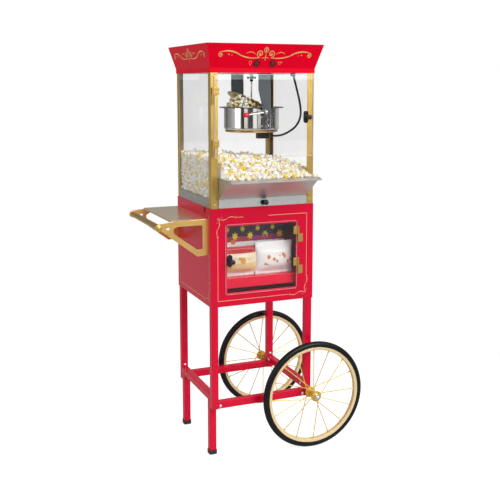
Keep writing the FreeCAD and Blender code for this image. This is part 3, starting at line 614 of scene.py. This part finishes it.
def pinstripes():
    """Thin frame with two scrolled corners on the front, and half a frame on each side."""
    left, right, low, high = 23.5, 338.7, 527.0, 798.0
    wide = 1.9
    front = Prints(on_cabinet_front)
    front.stroke([(left, low - wide / 2), (left, high - 66)], wide, False)
    front.stroke([(left, low), (right - 66, low)], wide, False)
    front.stroke([(right, low + 66), (right, high + wide / 2)], wide, False)
    front.stroke([(200, high), (right, high)], wide, False)
    front.stroke([(left + 66, high), (left + 88, high)], wide, False)
    corner_scroll(front, (left, high), 1, -1)
    corner_scroll(front, (right, low), -1, 1)
    front.make("front_pinstripe", line_pink)
    for name, place in (("left_pinstripe", on_cabinet_left), ("right_pinstripe", on_cabinet_right)):
        side = Prints(place)
        near, far, top = 17.0, DEPTH - 22.0, 662.0
        side.stroke([(near, low + 66), (near, 806)], wide, False)
        side.stroke([(near + 66, low), (far, low)], wide, False)
        side.stroke([(far, low - wide / 2), (far, top)], wide, False)
        corner_scroll(side, (near, low), 1, 1)
        side.make(name, line_pink)


pinstripes()


# ---- popped corn ----
def corn_material(name, butter):
    """Cream to buttery kernels, each its own tone, with golden lobes and brown hulls."""
    s = Shader(name)
    island = s.node("NewGeometry").outputs["Random Per Island"]
    lobes = s.noise(120.0, 3.0)
    pale = s.ramp(island, [(0.0, (0.95, 0.94, 0.90)), (0.62, (0.95, 0.92, 0.83)), (0.80, (0.94, 0.80, 0.40)),
                           (0.94, butter)])
    tint = s.mix(s.span(lobes, 0.0, 1.0, 0.60, 0.74), pale, (0.88, 0.60, 0.07))
    hull = s.noise(210.0, 1.0)
    tint = s.mix(s.span(hull, 0.0, 1.0, 0.70, 0.76), tint, (0.52, 0.24, 0.05))
    relief = s.bump(s.noise(420.0, 4.0), 0.35, 0.0008)
    s.set(Base_Color=tint, Roughness=s.span(lobes, 0.48, 0.75), Normal=relief.outputs["Normal"],
          Subsurface_Weight=0.12, Subsurface_Scale=0.004)
    return s.material


corn = corn_material("popped_corn", (0.88, 0.62, 0.08))
# A paler copy of the same corn for the pot: painted light that lightens the corn lying in the lid's shade.
kettle_corn_painted_lighter = corn_material("kettle_corn_painted_lighter", (0.94, 0.74, 0.30))
dice = random.Random(41)


def kernel_form():
    """One popped kernel of unit size: a ball pushed out into a few uneven lobes."""
    bm = bmesh.new()
    bmesh.ops.create_icosphere(bm, subdivisions=3, radius=1.0)
    lobes = []
    for _ in range(dice.choice((4, 5, 6, 7))):
        way = Vector((dice.gauss(0, 1), dice.gauss(0, 1), dice.gauss(0, 1))).normalized()
        lobes.append((way, dice.uniform(0.30, 0.62)))
    shift = Vector((dice.uniform(-9, 9), dice.uniform(-9, 9), dice.uniform(-9, 9)))
    for v in bm.verts:
        way = v.co.normalized()
        push = max(size * math.exp(-((way - lobe).length / 0.62) ** 2) for lobe, size in lobes)
        v.co = way * (0.44 + push + 0.07 * noise.noise(way * 4.0 + shift))
    bm.verts.index_update()
    verts = [v.co.copy() for v in bm.verts]
    faces = [tuple(v.index for v in f.verts) for f in bm.faces]
    bm.free()
    return verts, faces


KERNELS = [kernel_form() for _ in range(9)]


def scatter(name, places, body, material, low, high):
    """Joins kernels at (x, y, z, radius) places into one mesh, kept between two corners."""
    built = Build()
    for x, y, z, radius in places:
        verts, faces = dice.choice(KERNELS)
        turn = Euler([dice.uniform(0, 2 * math.pi) for _ in range(3)]).to_matrix()
        placed = []
        for v in verts:
            p = turn @ v * radius + Vector((x, y, z))
            placed.append(at(*[min(max(p[k], low[k]), high[k]) for k in range(3)]))
        built.add(placed, faces)
    return built.make(name, body, material, True)


CASE_LOW = (7.6, -1.0, 859.0)
CASE_HIGH = (355.4, 335.0, 1060.0)
TRAY_LOW = (29.5, -93.0, 866.0)
TRAY_HIGH = (333.5, -2.5, 980.0)


def heap_top(x, y):
    """Height of the heap's surface over the case floor."""
    fall = 30 * (x / WIDTH) ** 1.3 + 26 * max(0.0, 1 - max(y, 0.0) / 150) * (0.35 + 0.65 * x / WIDTH)
    wave = 9 * noise.noise(Vector((x * 0.014, y * 0.014, 3.0)))
    return 990 - fall + wave


def tray_floor(y):
    """Height of the tray's sloping plate."""
    return TRAY_PIVOT[1] + (TRAY_PIVOT[0] - y) / math.tan(TRAY_TILT)


def tray_top(x, y):
    """Surface of the corn that has run out into the tray."""
    share = min(1.0, max(0.0, -y / 90))
    return heap_top(x, 0) * (1 - share) + 929 * share - 8 * share * (1 - share) * 2


def two_layer_faces(nx, ny):
    """Faces of a closed form whose points are two layers of (nx + 1) by (ny + 1)."""
    def index(i, j, layer):
        return layer * (nx + 1) * (ny + 1) + i * (ny + 1) + j

    faces = []
    for i in range(nx):
        for j in range(ny):
            for layer in (0, 1):
                faces.append((index(i, j, layer), index(i + 1, j, layer), index(i + 1, j + 1, layer),
                              index(i, j + 1, layer)))
    for i in range(nx):
        for j in (0, ny):
            faces.append((index(i, j, 0), index(i + 1, j, 0), index(i + 1, j, 1), index(i, j, 1)))
    for j in range(ny):
        for i in (0, nx):
            faces.append((index(i, j, 0), index(i, j + 1, 0), index(i, j + 1, 1), index(i, j, 1)))
    return faces


def height_block(name, body, x_span, y_span, top, bottom, steps, material):
    """Lumpy filling under the visible kernels."""
    nx, ny = steps
    verts = []
    for layer in (0, 1):
        for i in range(nx + 1):
            for j in range(ny + 1):
                x = x_span[0] + (x_span[1] - x_span[0]) * i / nx
                y = y_span[0] + (y_span[1] - y_span[0]) * j / ny
                lump = 4 * noise.noise(Vector((x * 0.08, y * 0.08, 1.0)))
                verts.append(at(x, y, top(x, y) + lump if layer else bottom(x, y)))
    return new_object(name, verts, two_layer_faces(nx, ny), body, True, [material])


def case_core_top(x, y):
    return heap_top(x, y) - 8


def case_core_bottom(x, y):
    return 859.2


def tray_core_top(x, y):
    return tray_top(x, y) - 10


def tray_core_bottom(x, y):
    return tray_floor(y) + 4


def case_heap():
    """Heap on the case floor: loose kernels on its top and against the panes, over a filled core."""
    places = []
    step = 14.5
    for i in range(24):
        for j in range(23):
            x = 14 + i * step + dice.uniform(-5, 5)
            y = 10 + j * step + dice.uniform(-5, 5)
            if x < 352 and y < 330:
                places.append((x, y, heap_top(x, y) - dice.uniform(0, 9), dice.uniform(8, 12.5)))
    scatter("case_corn_top", places, "root", corn, CASE_LOW, CASE_HIGH)
    places = []
    for j in range(23):
        for k in range(9):
            for x in (13.5, 349.5):
                y = 12 + j * step + dice.uniform(-5, 5)
                z = 866 + k * 14 + dice.uniform(-4, 4)
                if y < 331 and z < heap_top(x, y) - 5:
                    places.append((x, y, z, dice.uniform(8, 11.5)))
    for i in range(23):
        for k in range(9):
            x = 18 + i * step + dice.uniform(-5, 5)
            z = 866 + k * 14 + dice.uniform(-4, 4)
            if z < heap_top(x, 330) - 5:
                places.append((x, 329.5, z, dice.uniform(8, 11.5)))
    scatter("case_corn_sides", places, "root", corn, CASE_LOW, CASE_HIGH)
    height_block("case_corn_core", "root", (15, 348), (6, 328), case_core_top, case_core_bottom,
                 (30, 28), corn)


case_heap()


def tray_heap():
    """Corn that has run out into the tray."""
    places = []
    for i in range(22):
        for j in range(7):
            x = 36 + i * 14 + dice.uniform(-5, 5)
            y = -8 - j * 13 + dice.uniform(-4, 4)
            if y > -90:
                top = tray_top(x, y)
                radius = dice.uniform(7.5, 11.5)
                lowest = tray_floor(y) + radius * 0.8 + 3
                places.append((x, y, max(top - dice.uniform(0, 8), lowest), radius))
    outer = scatter("tray_corn", places, "serving_tray", corn, TRAY_LOW, TRAY_HIGH)
    core = height_block("tray_corn_core", "serving_tray", (31, 332), (-80, -5), tray_core_top,
                        tray_core_bottom, (26, 7), corn)
    for piece in (outer, core):
        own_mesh(piece)


tray_heap()


def kettle_heap():
    """Corn that fills the pot, lifts the lid and spills over the rim at the front left."""
    places = []
    for _ in range(2600):
        x = dice.uniform(122, 222)
        y = dice.uniform(86, 256)
        off = math.hypot(x - KETTLE[0], y - KETTLE[1])
        spilling = y < 128 and x < 178
        if off > (99 if spilling else 84):
            continue
        slope = 1150 + 34 * min(1.0, (x - 118) / 44) * min(1.0, (90 - off) / 26)
        radius = dice.uniform(6.5, 9.5)
        lid = LID_HINGE[1] + (LID_HINGE[0] - x) * math.tan(LID_RAISED) - radius
        z = min(slope, lid - 2) - dice.choice((0, 3, 7, 14, 24, 36))
        if spilling and off > 84:
            z = dice.uniform(1152, 1160 + (99 - off) * 1.6)
        near = any((x - a) ** 2 + (y - b) ** 2 + (z - c) ** 2 < 120 for a, b, c, _ in places)
        if not near and len(places) < 330:
            places.append((x, y, z, radius))
    # The pot's corn uses the paler copy of the corn, painted light against the lid's shade.
    pile = scatter("kettle_corn", places, "kettle", kettle_corn_painted_lighter, (112, 70, 1070), (226, 270, 1215))
    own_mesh(pile)


kettle_heap()


# ---- packets on the inner shelf ----
def packet_material(name, bands, motif, motif_scale, gloss):
    """Plain printed film: level bands of colour and a rounded motif, with crinkles."""
    s = Shader(name)
    generated = s.tree.nodes.new("ShaderNodeTexCoord").outputs["Generated"]
    split = s.node("SeparateXYZ", Vector=generated)
    base = s.ramp(split.outputs["Z"], bands)
    s.tree.nodes[-1].color_ramp.interpolation = "CONSTANT"
    flat = s.node("Mapping", Vector=generated, Scale=(1.0, 0.0, 0.7)).outputs["Vector"]
    cells = s.node("TexVoronoi", Vector=flat, Scale=motif_scale)
    near = s.span(cells.outputs["Distance"], 1.0, 0.0, 0.32, 0.36)
    middle = s.ramp(split.outputs["Z"], [(0.0, (0, 0, 0)), (0.30, (1, 1, 1)), (0.66, (0, 0, 0))])
    s.tree.nodes[-1].color_ramp.interpolation = "CONSTANT"
    share = s.node("Math", Value=near)
    share.operation = "MULTIPLY"
    s.link(middle, share.inputs[1])
    tint = s.mix(share.outputs["Value"], base, motif)
    crinkle = s.bump(s.noise(38.0, 4.0), 0.5, 0.002)
    s.set(Base_Color=tint, Roughness=s.span(s.noise(25.0, 2.0), gloss - 0.06, gloss + 0.10),
          Normal=crinkle.outputs["Normal"])
    return s.material


def packet(name, x_span, y, z_span, thick, material, lean=0.0):
    """Filled film packet with crimped ends."""
    wide = x_span[1] - x_span[0]
    tall = z_span[1] - z_span[0]
    nx, nz = 28, 30
    verts = []
    crimp = 0.09
    for side in (-1, 1):
        for i in range(nx + 1):
            for k in range(nz + 1):
                u, v = i / nx, k / nz
                body = min(1.0, max(0.0, (v - crimp) / 0.28)) * min(1.0, max(0.0, (1 - crimp - v) / 0.28))
                swell = math.sin(math.pi * u) ** 0.55 * math.sin(math.pi / 2 * body)
                ridge = 0.6 * math.sin(u * wide * 1.1) if min(v, 1 - v) < crimp else 0.0
                crease = 1.6 * noise.noise(Vector((u * 5, v * 6, side + y * 0.1))) * swell
                push = side * (0.7 + thick / 2 * swell) + ridge + crease * side
                x = x_span[0] + wide * (u - (0.02 * math.sin(math.pi * v) * (u - 0.5) * 2))
                z = z_span[0] + tall * v
                verts.append(at(x, y + push + lean * v * tall, z))
    return new_object(name, verts, two_layer_faces(nx, nz), "root", True, [material])


SHELF_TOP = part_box("cabinet_shelf")[1].z / MM + 0.3


def packets():
    """Two filled packets in front of a plain printed carton."""
    biscuit = packet_material("biscuit_film", [(0.0, (0.74, 0.72, 0.69)), (0.16, (0.66, 0.45, 0.22)),
                                               (0.46, (0.70, 0.60, 0.42)), (0.78, (0.50, 0.015, 0.025))],
                              (0.55, 0.26, 0.05), 4.0, 0.30)
    pale = packet_material("pale_film", [(0.0, (0.72, 0.70, 0.69)), (0.50, (0.76, 0.75, 0.74))],
                           (0.62, 0.20, 0.05), 7.5, 0.28)
    bright = packet_material("bright_card", [(0.0, (0.92, 0.91, 0.90)), (0.62, (0.42, 0.04, 0.06)),
                                             (0.72, (0.06, 0.015, 0.05)), (0.94, (0.30, 0.10, 0.16))],
                             (0.80, 0.20, 0.05), 9.0, 0.35)
    packet("packet_left", (58, 182), 52, (SHELF_TOP, 692), 40, biscuit)
    packet("packet_right", (171, 308), 47, (SHELF_TOP, 703), 36, pale)
    built = Build()
    built.block((56, 100, SHELF_TOP), (304, 150, 762), 1.5)
    built.block((59, 99.3, SHELF_TOP + 4), (301, 101, 758), 0.5)
    built.make("carton", "root", bright)
    bursts(yellow_ink, "carton_bursts", range(9), 66, 27.5, (717, 741), (13, 10), 98.9)
    bursts(violet_ink, "carton_violet_bursts", range(3), 196, 34, (706, 712), (11, 9), 98.6)


def bursts(material, name, numbers, start, step, heights, sizes, y):
    """Row of uneven many-pointed bursts printed on the carton."""
    built = Build()
    for k in numbers:
        middle = (start + k * step, heights[k % 2])
        rings = []
        for lift in (0.0, 0.5):
            ring = []
            for i in range(14):
                turn = math.pi * i / 7 + k
                reach = sizes[k % 2] * (1.0 if i % 2 else 0.52)
                across, up = reach * math.cos(turn), reach * 1.2 * math.sin(turn)
                ring.append(at(middle[0] + across, y - lift, middle[1] + up))
            rings.append(ring)
        built.loft(rings)
    built.make(name, "root", material)


yellow_ink = surface("yellow_ink", (0.95, 0.72, 0.03), 0.4, tone=0.15, tone_scale=90.0)
violet_ink = surface("violet_ink", (0.28, 0.02, 0.36), 0.4, tone=0.15, tone_scale=90.0)
packets()


# ---- small fittings ----
def screw(built, place, out, radius=3.2):
    """Pan-head screw with a small dimple."""
    outline = [(radius, 0), (radius, 0.7), (radius * 0.85, 1.5), (radius * 0.5, 1.9), (0.6, 1.6), (0, 1.5)]
    built.turned(place, out, outline, 20)


def case_screws():
    """Screws of the two front corner angles and of the drawer's front."""
    built = Build()
    for x in (14.0, WIDTH - 14.0):
        for z in (842.0, 1246.0):
            screw(built, at(x, -0.02, z), (0, -1, 0), 2.8)
    for x, z in ((255.0, 844.0), (60.0, 844.0), (306.0, 836.0)):
        screw(built, at(x, -2.0, z), (0, -1, 0), 2.4)
    built.make("case_screws", "root", chrome, True)


def hinge_screws():
    """Countersunk screws on the hinge leaves of both doors."""
    for name, body, x_list, y, z_list in (
            ("case_hinge_screws", "case_door", (18.0, 25.0), -4.85, (1029.5, 1041.0, 1193.5, 1205.0)),
            ("cabinet_hinge_screws", "cabinet_door", (294.0,), -4.85, (631.0, 643.0, 737.0, 749.0)),
            ("cabinet_leaf_screws", "root", (319.0,), -1.55, (602.0, 616.0, 709.0, 722.0))):
        built = Build()
        for x in x_list:
            for z in z_list:
                built.turned(at(x, y, z), (0, -1, 0), [(2.6, 0), (2.6, 0.35), (1.9, 0.75), (0, 0.8)], 18)
        built.make(name, body, satin_gold, True)


def tray_catch():
    """Small catch at the middle of the tray's lower edge."""
    built = Build()
    built.block((175, -14.5, 856.0), (186, -9.6, 861.5), 1.2)
    built.turned(at(180.5, -14.4, 858.7), (0, -1, 0), [(2.0, 0), (2.0, 1.0), (1.3, 1.6), (0, 1.7)], 18)
    built.make("tray_catch", "serving_tray", arm_steel)


def spoke_nipples(wheel, centre):
    """Small sleeves where the spokes enter the rim."""
    built = Build()
    side_sign = 1 if centre[1] < 0 else -1
    for step in range(16):
        side = 1 if step % 2 else -1
        lean = 14.0 if step % 4 < 2 else -14.0
        at_rim = math.radians(step * 22.5)
        at_hub = at_rim + math.radians(lean) * 3
        hub = Vector((math.cos(at_hub) * 14, side * side_sign * 22, math.sin(at_hub) * 14))
        rim = Vector((math.cos(at_rim) * 156, side * side_sign * 2.5, math.sin(at_rim) * 156))
        way = (hub - rim).normalized()
        start = at(*(Vector(centre) + rim + way * 0.4))
        built.turned(start, way, [(2.6, 0), (2.4, 3), (2.0, 10), (1.5, 11)], 12)
    built.make(wheel + "_nipples", wheel, spoke_gold, True)


def stirrer_knob():
    """Moulded T-shaped thumb knob over the stirrer's top sleeve."""
    built = Build()
    tall = 18.0
    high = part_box("stirrer")[1].z / MM
    sleeve = [(4.2, 0), (6.0, 1.2), (6.2, 8), (7.2, 10), (7.2, tall - 0.5), (5.8, tall + 0.4)]
    wing = [(3.6, 0), (4.2, 4), (4.8, 8), (4.2, 10.5), (2.0, 11.8)]
    built.turned(at(*KETTLE, high - tall), (0, 0, 1), sleeve, 24)
    for side in (-1, 1):
        built.turned(at(KETTLE[0] + side * 5, KETTLE[1], high - 5.5), (side, 0, 0), wing, 18)
    built.make("stirrer_knob", "stirrer", black, True)


def door_edges():
    """Polished, light-catching edge of each clear door, coloured with painted light: a painted pink
    reflection of the red cabinet on the cabinet door and a painted pale highlight on the case door.
    """
    for name, body, material in (("cabinet_door_pane", "cabinet_door", edge_pink_reflection),
                                 ("case_door_pane", "case_door", edge_pale_highlight)):
        low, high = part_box(name)
        low = (low - CORNER) / MM
        high = (high - CORNER) / MM
        built = Build()
        wide, lift = 1.3, 0.25
        for box in (((low.x - lift, low.z + 4), (low.x + wide, high.z - 4)),
                    ((high.x - wide, low.z + 4), (high.x + lift, high.z - 4)),
                    ((low.x + 4, low.z - lift), (high.x - 4, low.z + wide)),
                    ((low.x + 4, high.z - wide), (high.x - 4, high.z + lift))):
            (x0, z0), (x1, z1) = box
            built.block((x0, low.y - lift, z0), (x1, high.y, z1), 0.3)
        built.make(name.replace("_pane", "_edge"), body, material)


UP = Vector((0, 0, 1))


def kettle_details():
    """Dark rolled edge of the pot's flange, pivot screws and a bent wire clip on the front bracket."""
    built = Build()
    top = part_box("kettle_pot")[1].z / MM
    rings = []
    for i in range(72):
        turn = 2 * math.pi * i / 72
        way = Vector((math.cos(turn), math.sin(turn), 0))
        middle = Vector((*KETTLE, top - 1.0)) + way * 107.6
        ring = []
        for k in range(10):
            round_bead = math.pi * k / 5
            ring.append(at(*(middle + (way * math.cos(round_bead) + UP * math.sin(round_bead)) * 1.5)))
        rings.append(ring)
    built.loft(rings + rings[:1], False)
    built.make("kettle_rim_bead", "kettle", arm_steel, True)
    built = Build()
    for x, z in ((203, 1084), (227, 1084), (227, 1124), (203, 1114)):
        screw(built, at(x, 63.1, z), (0, -1, 0), 2.6)
    built.turned(at(208, 36, 1130), (0, -1, 0), [(6.5, -3), (6.5, 0), (5, 2.5), (0, 3)], 6)
    built.make("kettle_screws", "kettle", chrome, True)
    wire = [at(*p) for p in ((221, 61.8, 1112), (226, 61.2, 1104), (217, 61.2, 1098), (226, 61.2, 1090),
                             (216, 61.2, 1083), (222, 61.8, 1077))]
    built = Build()
    built.tube(wire, 0.9, 8)
    built.make("kettle_wire_clip", "kettle", chrome, True)


case_screws()
hinge_screws()
tray_catch()
kettle_details()
stirrer_knob()
door_edges()
for wheel in ("front_wheel", "rear_wheel"):
    low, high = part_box(wheel.replace("_wheel", "_hub"))
    spoke_nipples(wheel, ((low + high) / 2 - CORNER) / MM)


# ---- stage ----
def straight_view(tree, rays):
    """1 for what is looked at directly or through the panes, 0 for light that has bounced."""
    bounces = tree.nodes.new("ShaderNodeMath")
    tree.links.new(rays.outputs["Diffuse Depth"], bounces.inputs[0])
    tree.links.new(rays.outputs["Glossy Depth"], bounces.inputs[1])
    none = tree.nodes.new("ShaderNodeMath")
    none.operation = "LESS_THAN"
    none.inputs[1].default_value = 0.5
    tree.links.new(bounces.outputs["Value"], none.inputs[0])
    return none.outputs["Value"]


FLOOR_GLOW = 0.74            # keeps the floor near white around a soft contact shadow


def stage():
    """Pale floor that fades into the white surround."""
    mesh = bpy.data.meshes.new("floor")
    half = 14.0
    corners = [(-half, -half, 0), (half, -half, 0), (half, half, 0), (-half, half, 0)]
    mesh.from_pydata(corners, [], [(0, 1, 2, 3)])
    floor = bpy.data.objects.new("floor", mesh)
    bpy.context.scene.collection.objects.link(floor)
    s = Shader("pale_floor")
    seen = straight_view(s.tree, s.node("LightPath"))
    s.set(Base_Color=(0.55, 0.55, 0.55, 1.0), Roughness=0.7, Specular_IOR_Level=0.1,
          Emission_Color=(1.0, 1.0, 1.0, 1.0), Emission_Strength=s.span(seen, 0.05, FLOOR_GLOW, 0.0, 1.0))
    glow = s.node("Emission", Color=(1.0, 1.0, 1.0, 1.0), Strength=s.span(seen, 0.4, 1.0, 0.0, 1.0))
    far = s.node("VectorMath")
    far.operation = "LENGTH"
    s.link(s.coords, far.inputs[0])
    blend = s.node("MixShader", Fac=s.span(far.outputs["Value"], 0.0, 1.0, 0.55, 1.5))
    s.link(s.bsdf.outputs["BSDF"], blend.inputs[1])
    s.link(glow.outputs["Emission"], blend.inputs[2])
    s.link(blend.outputs["Shader"], s.tree.nodes["Material Output"].inputs["Surface"])
    mesh.materials.append(s.material)


SURROUND = 0.62              # brightness of the surround for the object itself


def studio():
    """White surround with soft dark panels for the polished parts to reflect, and soft lights."""
    world = bpy.data.worlds.new("studio")
    bpy.context.scene.world = world
    world.use_nodes = True
    tree = world.node_tree
    background = tree.nodes["Background"]
    coords = tree.nodes.new("ShaderNodeTexCoord")
    split = tree.nodes.new("ShaderNodeSeparateXYZ")
    tree.links.new(coords.outputs["Generated"], split.inputs["Vector"])
    around = tree.nodes.new("ShaderNodeMath")
    around.operation = "ARCTAN2"
    tree.links.new(split.outputs["Y"], around.inputs[0])
    tree.links.new(split.outputs["X"], around.inputs[1])
    turn = tree.nodes.new("ShaderNodeMapRange")
    turn.inputs["From Min"].default_value = -math.pi
    turn.inputs["From Max"].default_value = math.pi
    tree.links.new(around.outputs["Value"], turn.inputs["Value"])
    bands = tree.nodes.new("ShaderNodeValToRGB")
    stops = [(0.0, 0.55), (0.05, 0.20), (0.09, 0.12), (0.10, 1.5), (0.135, 1.6), (0.15, 0.10), (0.20, 0.07),
             (0.21, 1.7), (0.245, 1.8), (0.26, 0.10), (0.36, 0.08), (0.375, 1.3), (0.42, 1.3), (0.44, 0.12),
             (0.50, 0.20), (0.56, 1.0), (0.66, 0.8), (0.72, 0.40), (0.90, 0.40), (0.96, 0.9)]
    elements = bands.color_ramp.elements
    while len(elements) < len(stops):
        elements.new(0.5)
    for element, (place, level) in zip(elements, stops):
        element.position = place
        element.color = (level, level, level, 1.0)
    tree.links.new(turn.outputs["Result"], bands.inputs["Fac"])
    high = tree.nodes.new("ShaderNodeMapRange")
    high.inputs["From Min"].default_value = 0.35
    high.inputs["From Max"].default_value = 0.75
    tree.links.new(split.outputs["Z"], high.inputs["Value"])
    dome = tree.nodes.new("ShaderNodeMix")
    dome.data_type = "RGBA"
    dome.inputs[7].default_value = (1.0, 1.0, 1.0, 1.0)
    tree.links.new(high.outputs["Result"], dome.inputs[0])
    tree.links.new(bands.outputs["Color"], dome.inputs[6])
    rays = tree.nodes.new("ShaderNodeLightPath")
    shown = tree.nodes.new("ShaderNodeMix")
    shown.data_type = "RGBA"
    shown.inputs[7].default_value = (1.0, 1.0, 1.0, 1.0)
    seen = straight_view(tree, rays)
    tree.links.new(seen, shown.inputs[0])
    tree.links.new(dome.outputs[2], shown.inputs[6])
    tree.links.new(shown.outputs[2], background.inputs["Color"])
    level = tree.nodes.new("ShaderNodeMapRange")
    level.inputs["To Min"].default_value = SURROUND
    level.inputs["To Max"].default_value = 1.0
    tree.links.new(seen, level.inputs["Value"])
    tree.links.new(level.outputs["Result"], background.inputs["Strength"])
    sun_data = bpy.data.lights.new("soft_sun", "SUN")
    sun_data.energy = 1.55
    sun_data.angle = math.radians(50)
    sun = bpy.data.objects.new("soft_sun", sun_data)
    bpy.context.scene.collection.objects.link(sun)
    sun.rotation_euler = Vector((-0.30, 1.0, -0.75)).to_track_quat("-Z", "Y").to_euler()
    for name, place, size, power in (("front_panel", (0.9, -2.6, 1.9), 1.4, 16.0),
                                     ("left_panel", (-2.6, -0.4, 1.5), 1.2, 10.0)):
        data = bpy.data.lights.new(name, "AREA")
        data.size = size
        data.energy = power
        light = bpy.data.objects.new(name, data)
        bpy.context.scene.collection.objects.link(light)
        light.location = place
        light.rotation_euler = (Vector((0, 0, 0.8)) - Vector(place)).to_track_quat("-Z", "Y").to_euler()
    bpy.context.scene.view_settings.view_transform = "Standard"


stage()
studio()
